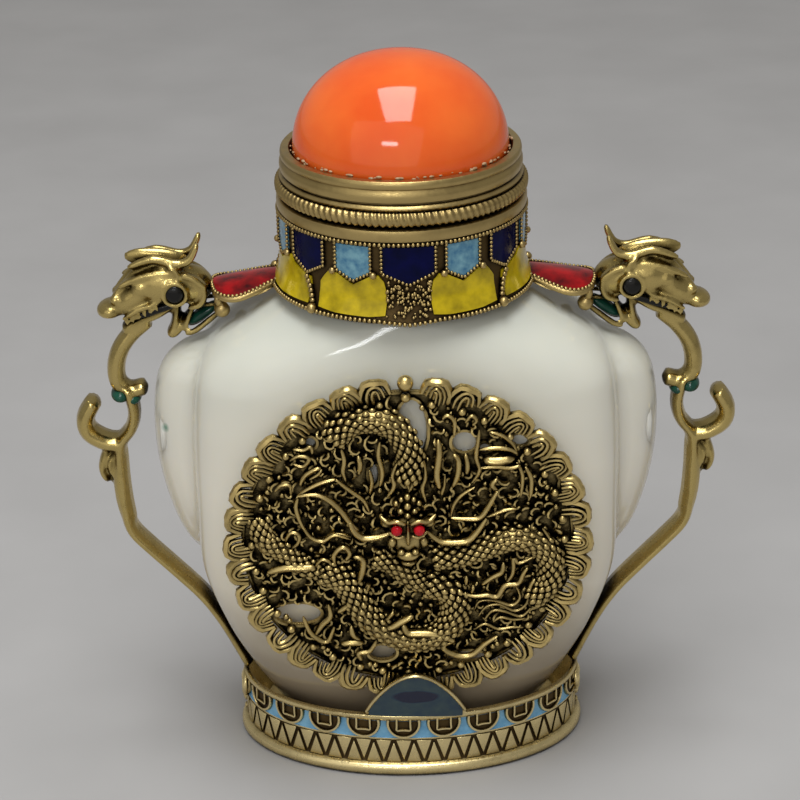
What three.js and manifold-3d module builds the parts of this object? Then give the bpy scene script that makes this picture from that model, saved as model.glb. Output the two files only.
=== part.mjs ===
// A snuff bottle of white glass in a gilt brass mount, in millimetres, +Z up.
// The origin is the centre of the base's flat underside, and the front faces -Y.
import * as THREE from "three";
import { mergeVertices } from "three/addons/utils/BufferGeometryUtils.js";
import Module from "manifold-3d";

const wasm = await Module();
wasm.setup();

// Clearances
const seatGap = 0.3; // between pieces that touch, such as the bottle on its base
const plugGap = 0.4; // round the stopper's plug, in the collar and the bottle's bore
const easing = 0.4; // rounding of the castings' edges

// Base: a shallow oval tray with a rolled foot
const baseLength = 42.8;
const baseDepth = 28.4;
const baseHeight = 8.3;
const footRoll = 1.6; // height of the rolled foot
const wallInset = 0.9; // from the foot's edge to the wall
const rimInset = 0.5; // from the foot's edge to the rim
const rimWidth = 0.7;
const rimHeight = 0.5; // of the rim's outer face
const bandRise = 4.9; // height of the ridge between the two ornament bands
const bandRidge = 0.25; // how far that ridge stands out
const trayFloor = 3.4; // thickness of the floor that the bottle stands on
const trayWall = 3.6; // from the foot's edge to the tray's side at its floor
const earDepth = 5.2; // lug at each end that carries a handle, front to back
const earWidth = 1.6;
const lappetWidth = 11.4; // enamelled tab that stands on the rim at the front
const lappetRise = 5.5; // above the rim
const lappetThickness = 0.9;

// Bottle: a flattened spade-shaped body with a raised panel down each narrow side
const bottleHeight = 65.3; // foot to mouth
const bodyOverhang = 3.8; // of its body past each end of the base
const bottleDepth = 29.2;
const bottleWall = 3;
const boreRadius = 5;
const panelStand = 4.9; // of each side panel out from the body
const panelDepth = 19; // each panel, front to back
const panelFrom = 0.3093; // its lower end, as a share of the bottle's height
const panelTo = 0.7565; // its upper end, as a share of the bottle's height
const ringRadius = 3.6; // carved mock ring on each panel
const ringTube = 0.7;
const ringPlace = 0.52; // its middle, as a share of the panel's height

// Collar: an enamelled band round the neck, with a lobed skirt over the shoulder
const collarRadius = 14.4;
const collarWall = 1.6; // round the bottle's neck
const collarHeight = 10.6; // skirt to top face
const collarLip = 1.4; // thickness of its top, over the bottle's mouth
const collarRing = 1.5; // height of the plain ring at its top
const skirtFlare = 1;
const skirtHeight = 2.8;
const skirtLobes = 7;
const pointDrop = 0.6; // how far the skirt hangs between its lobes
const armWidth = 8.6; // leaf-shaped side arms that reach to the dragon heads
const armThickness = 1.6;
const armDrop = 2.4; // the arm's tip below its root
const armCamber = 1.3; // fall from the arm's middle to its sides
const armBead = 1; // radius of the bead at the arm's tip

// Stopper: a turned cap with a plug, and a domed stone in its bezel
const capRadius = 14.1;
const capHeight = 5.1;
const ropeRadius = 0.85; // half height of the roped band
const ropeStand = 0.45; // how far it stands out from the cap
const capGroove = 2.6; // from the cap's top down to the groove in its bezel
const plugLength = 8.6;
const stoneRadius = 12.45;
const stoneRise = 10.7; // dome above the bezel
const stoneSeat = 1.8; // depth of the stone in its bezel

// Dragon medallion: an openwork plaque on the bottle's front
const plaqueMargin = 3.8; // from its edge to the side of the bottle's body
const plaqueStand = 2.4; // of its lowest edge above the base's rim
const plaqueRim = 3.3; // width of the scalloped border
const plaqueWeb = 0.9; // thickness of the pierced ground
const plaqueEdge = 1.9; // thickness of the border
const plaqueSag = 0.9; // how far its sides bend back
const plaqueBed = 0.45; // of glue between it and the bottle
const scallops = 36;
const scallopDepth = 0.6;
const coilRadius = 1.5; // the dragon's body
const whiskerRadius = 0.6;
const faceHeight = 7; // the dragon's face
const reliefHeight = 0.8; // of a relief bar, as a share of its width
const eyeSpacing = 2.6;
const eyeRadius = 0.75;
const eyeStand = 3.4; // of the stones' middle above the medallion's back

// Handles: a strap from the base, a scroll, a bent neck and a dragon's head
const strapDepth = 4.6; // front to back
const strapThickness = 1.4;
const strapClear = 0.64; // between the strap's foot and the bottle
const neckThickness = 2.5;
const neckDepth = 3.8; // front to back
const scrollReach = 9.5; // from the bottle's side to the scroll's outer face
const headBelow = 5.1; // the horn's tip below the collar's top face
const headShare = 0.2293; // the head's length, as a share of the handle's height
const hornThickness = 1.35;
const hornSpread = 3.6; // between the two horns
const leafReach = 6.2; // the head's leaf, inward from the bottle's side

// Heights and radii that follow from the sizes above
const bottleWidth = baseLength + 2 * bodyOverhang;
const side = bottleWidth / 2 + panelStand;
const plaqueRadius = bottleWidth / 2 - plaqueMargin;
const plaqueMiddle = baseHeight + plaqueStand + plaqueRadius;
const bottleFoot = trayFloor + seatGap;
const panelLow = panelFrom * bottleHeight;
const panelHigh = panelTo * bottleHeight;
const mouth = bottleFoot + bottleHeight;
const neckRadius = collarRadius - collarWall - seatGap;
const collarTop = mouth + seatGap + collarLip;
const collarFoot = collarTop - collarHeight;
const plugRadius = boreRadius - plugGap;
const capFoot = collarTop + seatGap;
const capTop = capFoot + capHeight;
const handleFoot = baseHeight + 2 * seatGap;
const handleTop = collarTop - headBelow;
const headLength = headShare * (handleTop - handleFoot);

const finish = (color, metalness, roughness) =>
  new THREE.MeshStandardMaterial({ color, metalness, roughness });
const gilt = finish(0xa88a3c, 1, 0.35);
const antiqueGilt = finish(0x7d6a2e, 1, 0.4);
const whiteGlass = finish(0xdcdccc, 0, 0.15);
const coral = finish(0xf05a20, 0, 0.1);
const ruby = finish(0xb00c18, 0, 0.1);

// A closed geometry as a solid that can be joined and cut.
function solidOf(geometry) {
  const bare = geometry.index ? geometry.toNonIndexed() : geometry.clone();
  for (const name of Object.keys(bare.attributes)) {
    if (name !== "position") bare.deleteAttribute(name);
  }
  const merged = mergeVertices(bare, 1e-4);
  const faces = [];
  for (let i = 0; i < merged.index.count; i += 3) {
    const [a, b, c] = merged.index.array.slice(i, i + 3);
    if (a !== b && b !== c && c !== a) faces.push(a, b, c);
  }
  return new wasm.Manifold(
    new wasm.Mesh({
      numProp: 3,
      vertProperties: merged.attributes.position.array,
      triVerts: new Uint32Array(faces),
    }),
  );
}

function joined(solids) {
  return solids.reduce((whole, next) => whole.add(next));
}

// A named mesh made from a solid.
function pieceOf(name, solid, material) {
  const { numProp, vertProperties, triVerts } = solid.getMesh();
  const points = new Float32Array((vertProperties.length / numProp) * 3);
  for (let i = 0; i < points.length / 3; i += 1) {
    points.set(vertProperties.subarray(i * numProp, i * numProp + 3), i * 3);
  }
  const geometry = new THREE.BufferGeometry();
  geometry.setAttribute("position", new THREE.BufferAttribute(points, 3));
  geometry.setIndex(new THREE.BufferAttribute(triVerts, 1));
  geometry.computeVertexNormals();
  const mesh = new THREE.Mesh(geometry, material);
  mesh.name = name;
  return mesh;
}

// Moves each vertex of a geometry.
function shaped(geometry, move) {
  const place = geometry.attributes.position;
  const point = new THREE.Vector3();
  for (let i = 0; i < place.count; i += 1) {
    point.fromBufferAttribute(place, i);
    move(point);
    place.setXYZ(i, point.x, point.y, point.z);
  }
  return geometry;
}

// A profile of [radius, height] turned about the Z axis.
function turned(profile, segments) {
  const points = profile.map(([radius, height]) => new THREE.Vector2(radius, height));
  return new THREE.LatheGeometry(points, segments).rotateX(Math.PI / 2);
}

// A ball stretched to three half sizes, turned in the XZ plane and moved.
function ball(centre, halves, turn = 0, segments = 10) {
  return solidOf(
    new THREE.SphereGeometry(1, segments, Math.round(segments * 0.7))
      .scale(...halves)
      .rotateY(-turn)
      .translate(...centre),
  );
}

// A flat-sided bar swept along a smooth path that lies in a plane of constant Y.
function bar(points, across, deep, steps) {
  const path = new THREE.CatmullRomCurve3(points.map((p) => new THREE.Vector3(...p)));
  const ring = [
    [0.36, 0.5],
    [-0.36, 0.5],
    [-0.5, 0],
    [-0.36, -0.5],
    [0.36, -0.5],
    [0.5, 0],
  ];
  // Along such a path the section's first axis lies along Y.
  const section = new THREE.Shape(ring.map(([y, z]) => new THREE.Vector2(y * deep, z * across)));
  return solidOf(new THREE.ExtrudeGeometry(section, { steps, extrudePath: path, bevelEnabled: false }));
}

// The bottle's body: shares of its height, half width and half depth, and how square the section is.
const bodyForm = [
  [0, 0.6, 0.59, 2.2],
  [0.03, 0.67, 0.66, 2.2],
  [0.063, 0.725, 0.715, 2.3],
  [0.12, 0.805, 0.785, 2.6],
  [0.202, 0.895, 0.86, 3.2],
  [0.322, 0.985, 0.93, 4],
  [0.433, 1, 0.975, 4.4],
  [0.6, 1, 1, 4.4],
  [0.702, 0.98, 0.995, 4],
  [0.74, 0.945, 0.985, 3.6],
  [0.77, 0.88, 0.97, 3.2],
  [0.798, 0.78, 0.945, 2.8],
  [0.822, 0.67, 0.91, 2.4],
  [0.842, 0.57, 0.875, 2.1],
  [0.858, 0.495, 0.84, 2],
];

// One column of a form table at a share of the height, on a smooth curve through its rows.
function formAt(table, share, column) {
  const held = Math.min(table.at(-1)[0], Math.max(0, share));
  const row = Math.min(
    table.length - 2,
    table.findLastIndex((entry) => entry[0] <= held),
  );
  const [lo, hi] = [table[row], table[row + 1]];
  const before = table[Math.max(0, row - 1)];
  const after = table[Math.min(table.length - 1, row + 2)];
  const span = hi[0] - lo[0];
  const t = (held - lo[0]) / span;
  const slopeLo = ((hi[column] - before[column]) / (hi[0] - before[0])) * span;
  const slopeHi = ((after[column] - lo[column]) / (after[0] - lo[0])) * span;
  const rise = (3 - 2 * t) * t * t;
  return (
    (1 - rise) * lo[column] + rise * hi[column] + t * (1 - t) * ((1 - t) * slopeLo - t * slopeHi)
  );
}

const shareAt = (z) => (z - bottleFoot) / bottleHeight;
const halfDepthAt = (z) => (formAt(bodyForm, shareAt(z), 2) * bottleDepth) / 2;

// A row of the body at a height, grown all round: height, half width, half depth, squareness.
function bodyRow(z, grown) {
  const share = shareAt(z);
  return [
    z,
    (formAt(bodyForm, share, 1) * bottleWidth) / 2 + grown,
    halfDepthAt(z) + grown,
    formAt(bodyForm, share, 3),
  ];
}

// An upright solid of oval sections, each row [height, half width, half depth, squareness].
function stacked(rows, segments) {
  const profile = rows.map(([z]) => [1, z]);
  const geometry = turned([[0, rows[0][0]], ...profile, [0, rows.at(-1)[0]]], segments);
  return solidOf(
    shaped(geometry, (point) => {
      const [, halfWidth, halfDepth, squareness] = rows.reduce((a, b) =>
        Math.abs(b[0] - point.z) < Math.abs(a[0] - point.z) ? b : a,
      );
      const radius = Math.hypot(point.x, point.y);
      if (radius < 1e-6) return;
      const power = 2 / squareness;
      const [c, s] = [point.x / radius, point.y / radius];
      point.x = radius * halfWidth * Math.sign(c) * Math.abs(c) ** power;
      point.y = radius * halfDepth * Math.sign(s) * Math.abs(s) ** power;
    }),
  );
}

function upright(radius, low, high, segments) {
  return solidOf(
    new THREE.CylinderGeometry(radius, radius, high - low, segments)
      .rotateX(Math.PI / 2)
      .translate(0, 0, (low + high) / 2),
  );
}

// The side panels, one oval solid through the body that stands out at both ends.
function sidePanels() {
  const form = [
    [0, 0.79, 0.45],
    [0.1, 0.885, 0.8],
    [0.24, 0.945, 0.97],
    [0.45, 0.99, 1],
    [0.65, 1, 1],
    [0.8, 0.985, 0.96],
    [0.89, 0.95, 0.88],
    [0.96, 0.875, 0.7],
    [1, 0.77, 0.4],
  ];
  const rows = form.map(([share, width, depth]) => [
    bottleFoot + panelLow + share * (panelHigh - panelLow),
    width * side,
    (depth * panelDepth) / 2,
    2.4,
  ]);
  return stacked(rows, 20);
}

// A carved ring and the small mask that holds it, on one side of the bottle.
function maskAndRing(hand) {
  const face = hand * (side - ringTube * 1.2);
  const middle = bottleFoot + panelLow + ringPlace * (panelHigh - panelLow);
  const ring = new THREE.TorusGeometry(ringRadius, ringTube, 4, 12)
    .rotateY(Math.PI / 2)
    .translate(face, 0, middle);
  const mask = [0.25, 0.72, 0.61].map((share) => share * ringRadius);
  return [solidOf(ring), ball([face, 0, middle + 1.4 * ringRadius], mask, 0, 6)];
}

function bottle() {
  const outside = bodyForm.map(([share]) => bodyRow(bottleFoot + share * bottleHeight, 0));
  const shoulder = outside.at(-1)[0];
  const neck = upright(neckRadius, shoulder - easing, mouth, 24);

  const low = bottleFoot + bottleWall;
  const high = shoulder - bottleWall;
  const levels = 6;
  const hollow = [];
  for (let i = 0; i <= levels; i += 1) {
    const row = bodyRow(low + ((high - low) * i) / levels, -bottleWall);
    // The hollow is rounded in over the last part of the way to its floor and its shoulders.
    const straight = 0.6;
    const past = Math.max(0, Math.abs((2 * i) / levels - 1) - straight) / (1 - straight);
    const round = Math.sqrt(1 - 0.6 * past ** 2);
    hollow.push([row[0], row[1] * round, row[2] * round, 2.6]);
  }
  return joined([stacked(outside, 28), neck, sidePanels(), ...maskAndRing(1), ...maskAndRing(-1)])
    .subtract(stacked(hollow, 14))
    .subtract(upright(boreRadius, high - bottleWall, mouth + easing, 16));
}

// A turned profile drawn out along X, with an even wall all round.
function ovalTurned(profile, segments, stretch) {
  const nearAxis = 1e-3;
  const geometry = turned(
    profile.map(([radius, z]) => [Math.max(radius, nearAxis), z]),
    segments,
  );
  return solidOf(
    shaped(geometry, (point) => {
      const radius = Math.hypot(point.x, point.y);
      point.x += (stretch * point.x) / radius;
      if (radius < 2 * nearAxis) point.y = 0;
    }),
  );
}

// The tab on the rim at the front, an ogee arch that follows the rim; grown makes room for it.
function lappet(grown) {
  const edge = baseDepth / 2 - rimInset;
  const half = lappetWidth / 2 + grown;
  const low = baseHeight - rimInset;
  const tab = new THREE.BoxGeometry(2, 2, 1, 6, 1, 1);
  shaped(tab, (point) => {
    const arch = 0.3 + 0.7 * Math.cos((point.x * Math.PI) / 2) ** 1.3;
    const across = (point.x * half) / (baseLength / 2);
    const out = edge * Math.sqrt(1 - across ** 2) - lappetThickness / 2;
    point.z = low + (point.z + 0.5) * (arch * lappetRise + baseHeight - low + grown);
    point.y = -out + point.y * (lappetThickness / 2 + grown);
    point.x *= half;
  });
  return solidOf(tab);
}

function base() {
  const edge = baseDepth / 2;
  const wall = edge - wallInset;
  const rim = edge - rimInset;
  const profile = [
    [0, 0],
    [edge - easing, 0],
    [edge, footRoll / 2],
    [edge - easing, footRoll],
    [wall, footRoll],
    [wall, bandRise - bandRidge],
    [wall + bandRidge, bandRise],
    [wall, bandRise + bandRidge],
    [wall, baseHeight - rimHeight - easing],
    [rim, baseHeight - rimHeight],
    [rim, baseHeight],
    [rim - rimWidth, baseHeight],
    [edge - trayWall, trayFloor],
    [0, trayFloor],
  ];
  const pieces = [ovalTurned(profile, 32, (baseLength - baseDepth) / 2), lappet(0)];
  for (const hand of [-1, 1]) {
    const end = hand * (baseLength / 2 - wallInset);
    const middle = (footRoll + baseHeight) / 2;
    const halves = [earWidth / 2, earDepth / 2, (baseHeight - footRoll) / 2];
    pieces.push(ball([end, 0, middle], halves, 0, 8));
  }
  return joined(pieces);
}

// One side arm of the collar, a leaf that slopes down over the shoulder to the dragon's head.
function collarArm(hand) {
  const root = collarRadius - collarWall / 2;
  const tip = side - leafReach - seatGap;
  const top = collarFoot + skirtHeight * 0.45;
  const leaf = shaped(new THREE.SphereGeometry(1, 8, 6), (point) => {
    const along = (point.x + 1) / 2;
    const middle = top - armDrop * along - armCamber * point.y ** 2;
    point.z = middle + (point.z * armThickness) / 2;
    point.x = hand * (root + along * (tip - root));
    point.y *= (hand * armWidth) / 2;
  });
  const bead = ball([hand * (tip - armBead), 0, top - armDrop], [armBead, armBead, armBead], 0, 6);
  return [solidOf(leaf), bead];
}

function collar() {
  const ringFoot = collarTop - collarRing;
  const profile = [
    [0, collarFoot],
    [collarRadius + skirtFlare, collarFoot],
    [collarRadius + skirtFlare * 0.8, collarFoot + skirtHeight * 0.45],
    [collarRadius, collarFoot + skirtHeight],
    [collarRadius, ringFoot - easing],
    [collarRadius - easing / 2, ringFoot],
    [collarRadius + easing / 4, ringFoot + easing],
    [collarRadius + easing / 4, collarTop - easing],
    [collarRadius - easing, collarTop],
    [0, collarTop],
  ];
  const band = shaped(turned(profile, skirtLobes * 4), (point) => {
    const radius = Math.hypot(point.x, point.y);
    if (radius < collarRadius || point.z > collarFoot + skirtHeight * 0.6) return;
    const angle = Math.atan2(point.x, -point.y);
    point.z -= pointDrop * Math.abs(Math.cos((angle * skirtLobes) / 2));
  });
  const shoulder = bodyForm.map(([share]) => bodyRow(bottleFoot + share * bottleHeight + seatGap, seatGap));
  return joined([solidOf(band), ...collarArm(1), ...collarArm(-1)])
    .subtract(stacked(shoulder.slice(-6), 20))
    .subtract(upright(neckRadius + seatGap, collarFoot - pointDrop - easing, mouth + seatGap, 24))
    .subtract(upright(boreRadius, mouth, collarTop + easing, 16));
}

function stopper() {
  const rope = capFoot + ropeRadius;
  const lip = stoneRadius + seatGap;
  const groove = capTop - capGroove;
  const profile = [
    [0, capFoot - plugLength],
    [plugRadius - easing, capFoot - plugLength],
    [plugRadius, capFoot - plugLength + easing],
    [plugRadius, capFoot],
    [capRadius - easing / 2, capFoot],
    [capRadius + ropeStand, rope - ropeRadius / 2],
    [capRadius + ropeStand, rope + ropeRadius / 2],
    [capRadius - easing / 4, rope + ropeRadius],
    [capRadius, groove - easing / 2],
    [capRadius - easing, groove],
    [capRadius - easing / 2, groove + easing / 2],
    [capRadius - easing / 2, capTop],
    [lip, capTop],
    [lip, capTop - stoneSeat],
    [0, capTop - stoneSeat],
  ];
  return solidOf(turned(profile, 22));
}

function stone() {
  const foot = capTop - stoneSeat + seatGap;
  const profile = [
    [0, foot],
    [stoneRadius - easing, foot],
    [stoneRadius, foot + easing],
  ];
  const rings = 5;
  for (let i = 0; i <= rings; i += 1) {
    const angle = (i / rings) * (Math.PI / 2);
    // A power just under 1 makes the dome a little fuller than an ellipse.
    const radius = i === rings ? 0 : stoneRadius * Math.cos(angle) ** 0.92;
    profile.push([radius, capTop + stoneRise * Math.sin(angle)]);
  }
  return solidOf(turned(profile, 22));
}

// How far the medallion's back stands forward of the middle plane.
const plaqueBack = (x, z) => halfDepthAt(z) + plaqueBed - plaqueSag * (x / plaqueRadius) ** 4;

// Lays a flat relief, drawn about the origin facing -Y, on the bottle's front.
function laidOnFront(geometry) {
  return solidOf(
    shaped(geometry, (point) => {
      point.z += plaqueMiddle;
      point.y -= plaqueBack(point.x, point.z);
    }),
  );
}

// A bar of the relief along an arc: centre and radius as shares of the plaque's, and angles in degrees.
function reliefArc([centreX, centreZ, radius, from, to], thickness, stand, steps) {
  const points = [];
  for (let i = 0; i <= steps; i += 1) {
    const angle = THREE.MathUtils.degToRad(from + ((to - from) * i) / steps);
    const x = centreX + radius * Math.cos(angle);
    const z = centreZ + radius * Math.sin(angle);
    points.push(new THREE.Vector3(plaqueRadius * x, -stand, plaqueRadius * z));
  }
  const sides = 4;
  const section = new THREE.Shape();
  for (let i = 0; i < sides; i += 1) {
    const turn = (i / sides) * Math.PI * 2;
    const corner = [thickness * reliefHeight * Math.cos(turn), thickness * Math.sin(turn)];
    if (i === 0) section.moveTo(...corner);
    else section.lineTo(...corner);
  }
  const path = new THREE.CatmullRomCurve3(points);
  return laidOnFront(new THREE.ExtrudeGeometry(section, { steps, extrudePath: path, bevelEnabled: false }));
}

// The medallion's pierced ground and scalloped border.
function plaqueGround() {
  const inner = plaqueRadius - plaqueRim;
  const profile = [
    [0, 0],
    [inner * 0.6, 0],
    [plaqueRadius - easing, 0],
    [plaqueRadius, plaqueEdge * 0.4],
    [plaqueRadius - plaqueRim * 0.3, plaqueEdge],
    [inner, plaqueWeb],
    [0, plaqueWeb],
  ];
  const disc = shaped(turned(profile, scallops * 2), (point) => {
    const radius = Math.hypot(point.x, point.y);
    if (radius < inner + plaqueRim * 0.3) return;
    const wave = Math.cos(Math.atan2(point.y, point.x) * scallops);
    const grow = 1 + ((scallopDepth / 2) * (wave - 1)) / plaqueRadius;
    point.x *= grow;
    point.y *= grow;
  });
  const holes = [
    [0.06, 0.66, 0.1, 0.17],
    [-0.14, 0.42, 0.06, 0.14],
    [0.36, 0.6, 0.12, 0.07],
    [-0.46, 0.6, 0.12, 0.07],
    [0.66, 0.34, 0.08, 0.1],
    [-0.7, 0.2, 0.07, 0.13],
    [-0.6, -0.44, 0.13, 0.07],
    [0.3, -0.62, 0.12, 0.06],
  ];
  const cuts = holes.map(([x, z, halfX, halfZ]) => {
    const plug = new THREE.CylinderGeometry(halfX, halfX, 1, 5)
      .scale(1, (4 * plaqueEdge) / plaqueRadius, halfZ / halfX)
      .translate(x, 0, z)
      .scale(plaqueRadius, plaqueRadius, plaqueRadius);
    return laidOnFront(plug);
  });
  return laidOnFront(disc.rotateX(Math.PI / 2)).subtract(joined(cuts));
}

// The coiled dragon, seen from the front: its body in loops round the head, its legs and its whiskers.
function dragonCoils() {
  const body = [
    [-0.22, 0.4, 0.27, 240, -20],
    [0.34, 0.14, 0.36, 110, -110],
    [0.06, -0.42, 0.3, 200, -40],
    [-0.5, -0.02, 0.26, 100, 320],
  ];
  const legs = [
    [0.2, -0.5, 0.3, 215, 310],
    [-0.58, -0.5, 0.26, 100, 0],
    [0.6, -0.44, 0.22, 230, 60],
  ];
  const pieces = body.map((arc) => reliefArc(arc, coilRadius, coilRadius * reliefHeight, 5));
  pieces.push(...legs.map((arc) => reliefArc(arc, coilRadius * 0.6, plaqueWeb, 3)));
  for (const hand of [-1, 1]) {
    const turn = (angle) => (hand > 0 ? angle : 180 - angle);
    const whiskers = [
      [hand * 0.3, 0.1, 0.2, turn(200), turn(-20)],
      [hand * 0.3, 0.38, 0.22, turn(260), turn(140)],
    ];
    pieces.push(...whiskers.map((arc) => reliefArc(arc, whiskerRadius, plaqueEdge, 3)));
  }
  return pieces;
}

const eyeLine = plaqueMiddle + 0.14 * plaqueRadius;

// The cheeks, the nose and the brow, each with its place above the eyes, how far it stands
// forward, and its half sizes, all as shares of the face's height.
function dragonFace() {
  const lumps = [
    [-0.2, 0.243, [0.4, 0.243, 0.5], 7],
    [-0.557, 0.343, [0.271, 0.186, 0.186], 5],
    [0.457, 0.229, [0.443, 0.171, 0.371], 6],
  ];
  return lumps.map(([above, stand, halves, segments]) => {
    const z = eyeLine + above * faceHeight;
    const place = [0, -plaqueBack(0, z) - stand * faceHeight, z];
    const sizes = halves.map((share) => share * faceHeight);
    return ball(place, sizes, 0, segments);
  });
}

// A cut stone set in the dragon's face.
function eye(hand, radius) {
  const x = (hand * eyeSpacing) / 2;
  const y = -plaqueBack(x, eyeLine) - eyeStand;
  return solidOf(new THREE.OctahedronGeometry(radius, 1).translate(x, y, eyeLine));
}

function medallion() {
  const sockets = [-1, 1].map((hand) => eye(hand, eyeRadius + seatGap));
  return joined([plaqueGround(), ...dragonCoils(), ...dragonFace()])
    .subtract(joined(sockets))
    .subtract(lappet(seatGap));
}

const strapFoot = bodyRow(handleFoot, 0)[1] + strapClear + strapThickness / 2;

// A place on a handle: across from the strap's foot, past 1 at the bottle's side to 2 at the
// scroll's outer face; up from the strap's foot to 1 at the horn's tip; and out of the middle plane.
function onHandle(hand, across, up, y = 0) {
  const x =
    across < 1 ? strapFoot + across * (side - strapFoot) : side + (across - 1) * scrollReach;
  return [hand * x, y, handleFoot + up * (handleTop - handleFoot)];
}

function handle(hand) {
  const at = (points, y = 0) => points.map(([across, up]) => onHandle(hand, across, up, y));
  const lump = (across, up, halves, turn) =>
    ball(onHandle(hand, across, up), halves.map((share) => share * headLength), hand * turn, 7);
  const strap = [
    [0, 0],
    [0.26, 0.095],
    [0.52, 0.167],
    [0.87, 0.235],
    [1.14, 0.284],
    [1.36, 0.328],
    [1.43, 0.375],
    [1.45, 0.45],
    [1.45, 0.53],
    [1.3, 0.57],
    [1.25, 0.61],
    [1.31, 0.662],
  ];
  const scroll = [
    [1.45, 0.535],
    [1.64, 0.539],
    [1.86, 0.562],
    [1.89, 0.595],
    [1.76, 0.636],
  ];
  const spur = [
    [1.58, 0.545],
    [1.7, 0.48],
    [1.64, 0.443],
  ];
  const neck = [
    [1.1, 0.662],
    [1.3, 0.655],
    [1.43, 0.676],
    [1.44, 0.713],
    [1.37, 0.75],
    [1.22, 0.784],
    [1.02, 0.812],
  ];
  const jaw = [
    [1.3, 0.795],
    [1.12, 0.815],
    [0.88, 0.832],
    [0.62, 0.862],
  ];
  const brow = [
    [1.2, 0.94],
    [0.9, 0.957],
    [0.62, 0.946],
    [0.46, 0.955],
    [0.36, 0.99],
  ];
  const leaf = [
    [0.6, 0.9],
    [0.68, 0.81],
    [0.74, 0.785],
    [0.66, 0.79],
    [0.49, 0.83],
  ];
  const horns = [-1, 1].map((half) =>
    bar(at(brow, (half * hornSpread) / 2), hornThickness, hornThickness, 4),
  );
  return joined([
    bar(at(strap), strapThickness, strapDepth, 13),
    bar(at(scroll), strapThickness * 1.2, strapDepth, 5),
    bar(at(spur), strapThickness * 0.8, strapDepth * 0.6, 2),
    bar(at(neck), neckThickness, neckDepth, 6),
    bar(at(jaw), neckThickness * 0.7, neckDepth, 3),
    bar(at(leaf), strapThickness * 0.8, neckDepth * 0.8, 4),
    ...horns,
    lump(0.8, 0.9, [0.32, 0.26, 0.23], 0),
    lump(1.12, 0.876, [0.32, 0.23, 0.17], -0.65),
    lump(1.46, 0.84, [0.14, 0.19, 0.09], -0.15),
  ]);
}

const part = new THREE.Group();
part.add(
  pieceOf("base", base(), gilt),
  pieceOf("bottle", bottle(), whiteGlass),
  pieceOf("handle_left", handle(-1), gilt),
  pieceOf("handle_right", handle(1), gilt),
  pieceOf("collar", collar(), gilt),
  pieceOf("stopper_cap", stopper(), gilt),
  pieceOf("stopper_stone", stone(), coral),
  pieceOf("dragon_medallion", medallion(), antiqueGilt),
  pieceOf("dragon_eye_left", eye(-1, eyeRadius), ruby),
  pieceOf("dragon_eye_right", eye(1, eyeRadius), ruby),
);

export default part;
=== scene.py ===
import math
import random

import bmesh
import bpy
from mathutils import Matrix, Vector


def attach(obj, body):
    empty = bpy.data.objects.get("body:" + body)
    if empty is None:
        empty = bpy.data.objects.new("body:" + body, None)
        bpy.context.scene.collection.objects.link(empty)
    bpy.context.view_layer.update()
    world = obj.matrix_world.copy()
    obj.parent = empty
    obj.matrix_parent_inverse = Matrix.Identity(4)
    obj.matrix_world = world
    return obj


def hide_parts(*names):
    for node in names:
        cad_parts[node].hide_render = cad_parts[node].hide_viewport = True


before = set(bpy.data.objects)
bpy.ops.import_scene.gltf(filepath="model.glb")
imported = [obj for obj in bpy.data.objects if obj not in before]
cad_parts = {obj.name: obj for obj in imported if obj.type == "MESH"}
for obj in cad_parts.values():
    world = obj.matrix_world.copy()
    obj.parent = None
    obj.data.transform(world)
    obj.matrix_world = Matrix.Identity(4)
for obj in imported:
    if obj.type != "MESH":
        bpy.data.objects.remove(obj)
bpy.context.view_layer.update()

# The base: a low oval tray of gilt brass with a rolled foot. A band of round coins on sky-blue
# enamel runs under its rim, with a band of engraved triangles below it. The mesh is drawn in
# millimetres and set to metres as each piece is finished.
MM = 0.001
BASE_LENGTH, BASE_DEPTH, BASE_HEIGHT = 42.8, 28.4, 8.3
FOOT_ROLL = 1.6
BAND_RISE = 4.9
WALL_INSET = 0.9
STRETCH = (BASE_LENGTH - BASE_DEPTH) / 2


def finished(bm, name, materials, slot, *nodes, crease=45):
    """Makes a mesh in millimetres into a piece of the object."""
    bmesh.ops.remove_doubles(bm, verts=bm.verts, dist=0.003)
    bmesh.ops.recalc_face_normals(bm, faces=bm.faces)
    bmesh.ops.scale(bm, vec=(MM, MM, MM), verts=bm.verts)
    for face in bm.faces:
        face.smooth = True
    mesh = bpy.data.meshes.new(name)
    bm.to_mesh(mesh)
    bm.free()
    mesh.set_sharp_from_angle(angle=math.radians(crease))
    for material in materials:
        mesh.materials.append(material)
    piece = bpy.data.objects.new(name, mesh)
    bpy.context.scene.collection.objects.link(piece)
    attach(piece, "root")
    if nodes:
        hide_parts(*nodes)
    return piece


def moved(bm, since, place):
    """Moves the vertices made since a count through a function of their place."""
    bm.verts.ensure_lookup_table()
    for vert in bm.verts[since:]:
        vert.co = place(vert.co)


def turned(bm, profile, steps):
    """Spins a line of [radius, height] points once round the Z axis."""
    line = [bm.verts.new((radius, 0, height)) for radius, height in profile]
    edges = [bm.edges.new(pair) for pair in zip(line, line[1:])]
    bmesh.ops.spin(bm, geom=line + edges, axis=(0, 0, 1), cent=(0, 0, 0), angle=2 * math.pi,
                   steps=steps, use_merge=True, use_duplicate=False)


def smooth_point(points, share):
    """A point on the smooth curve through the given ones."""
    reach = share * (len(points) - 1)
    i = min(int(reach), len(points) - 2)
    t = reach - i
    a, b = Vector(points[max(i - 1, 0)]), Vector(points[i])
    c, d = Vector(points[i + 1]), Vector(points[min(i + 2, len(points) - 1)])
    return 0.5 * (2 * b + (c - a) * t + (2 * a - 5 * b + 4 * c - d) * t**2
                  + (3 * b - a - 3 * c + d) * t**3)


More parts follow.
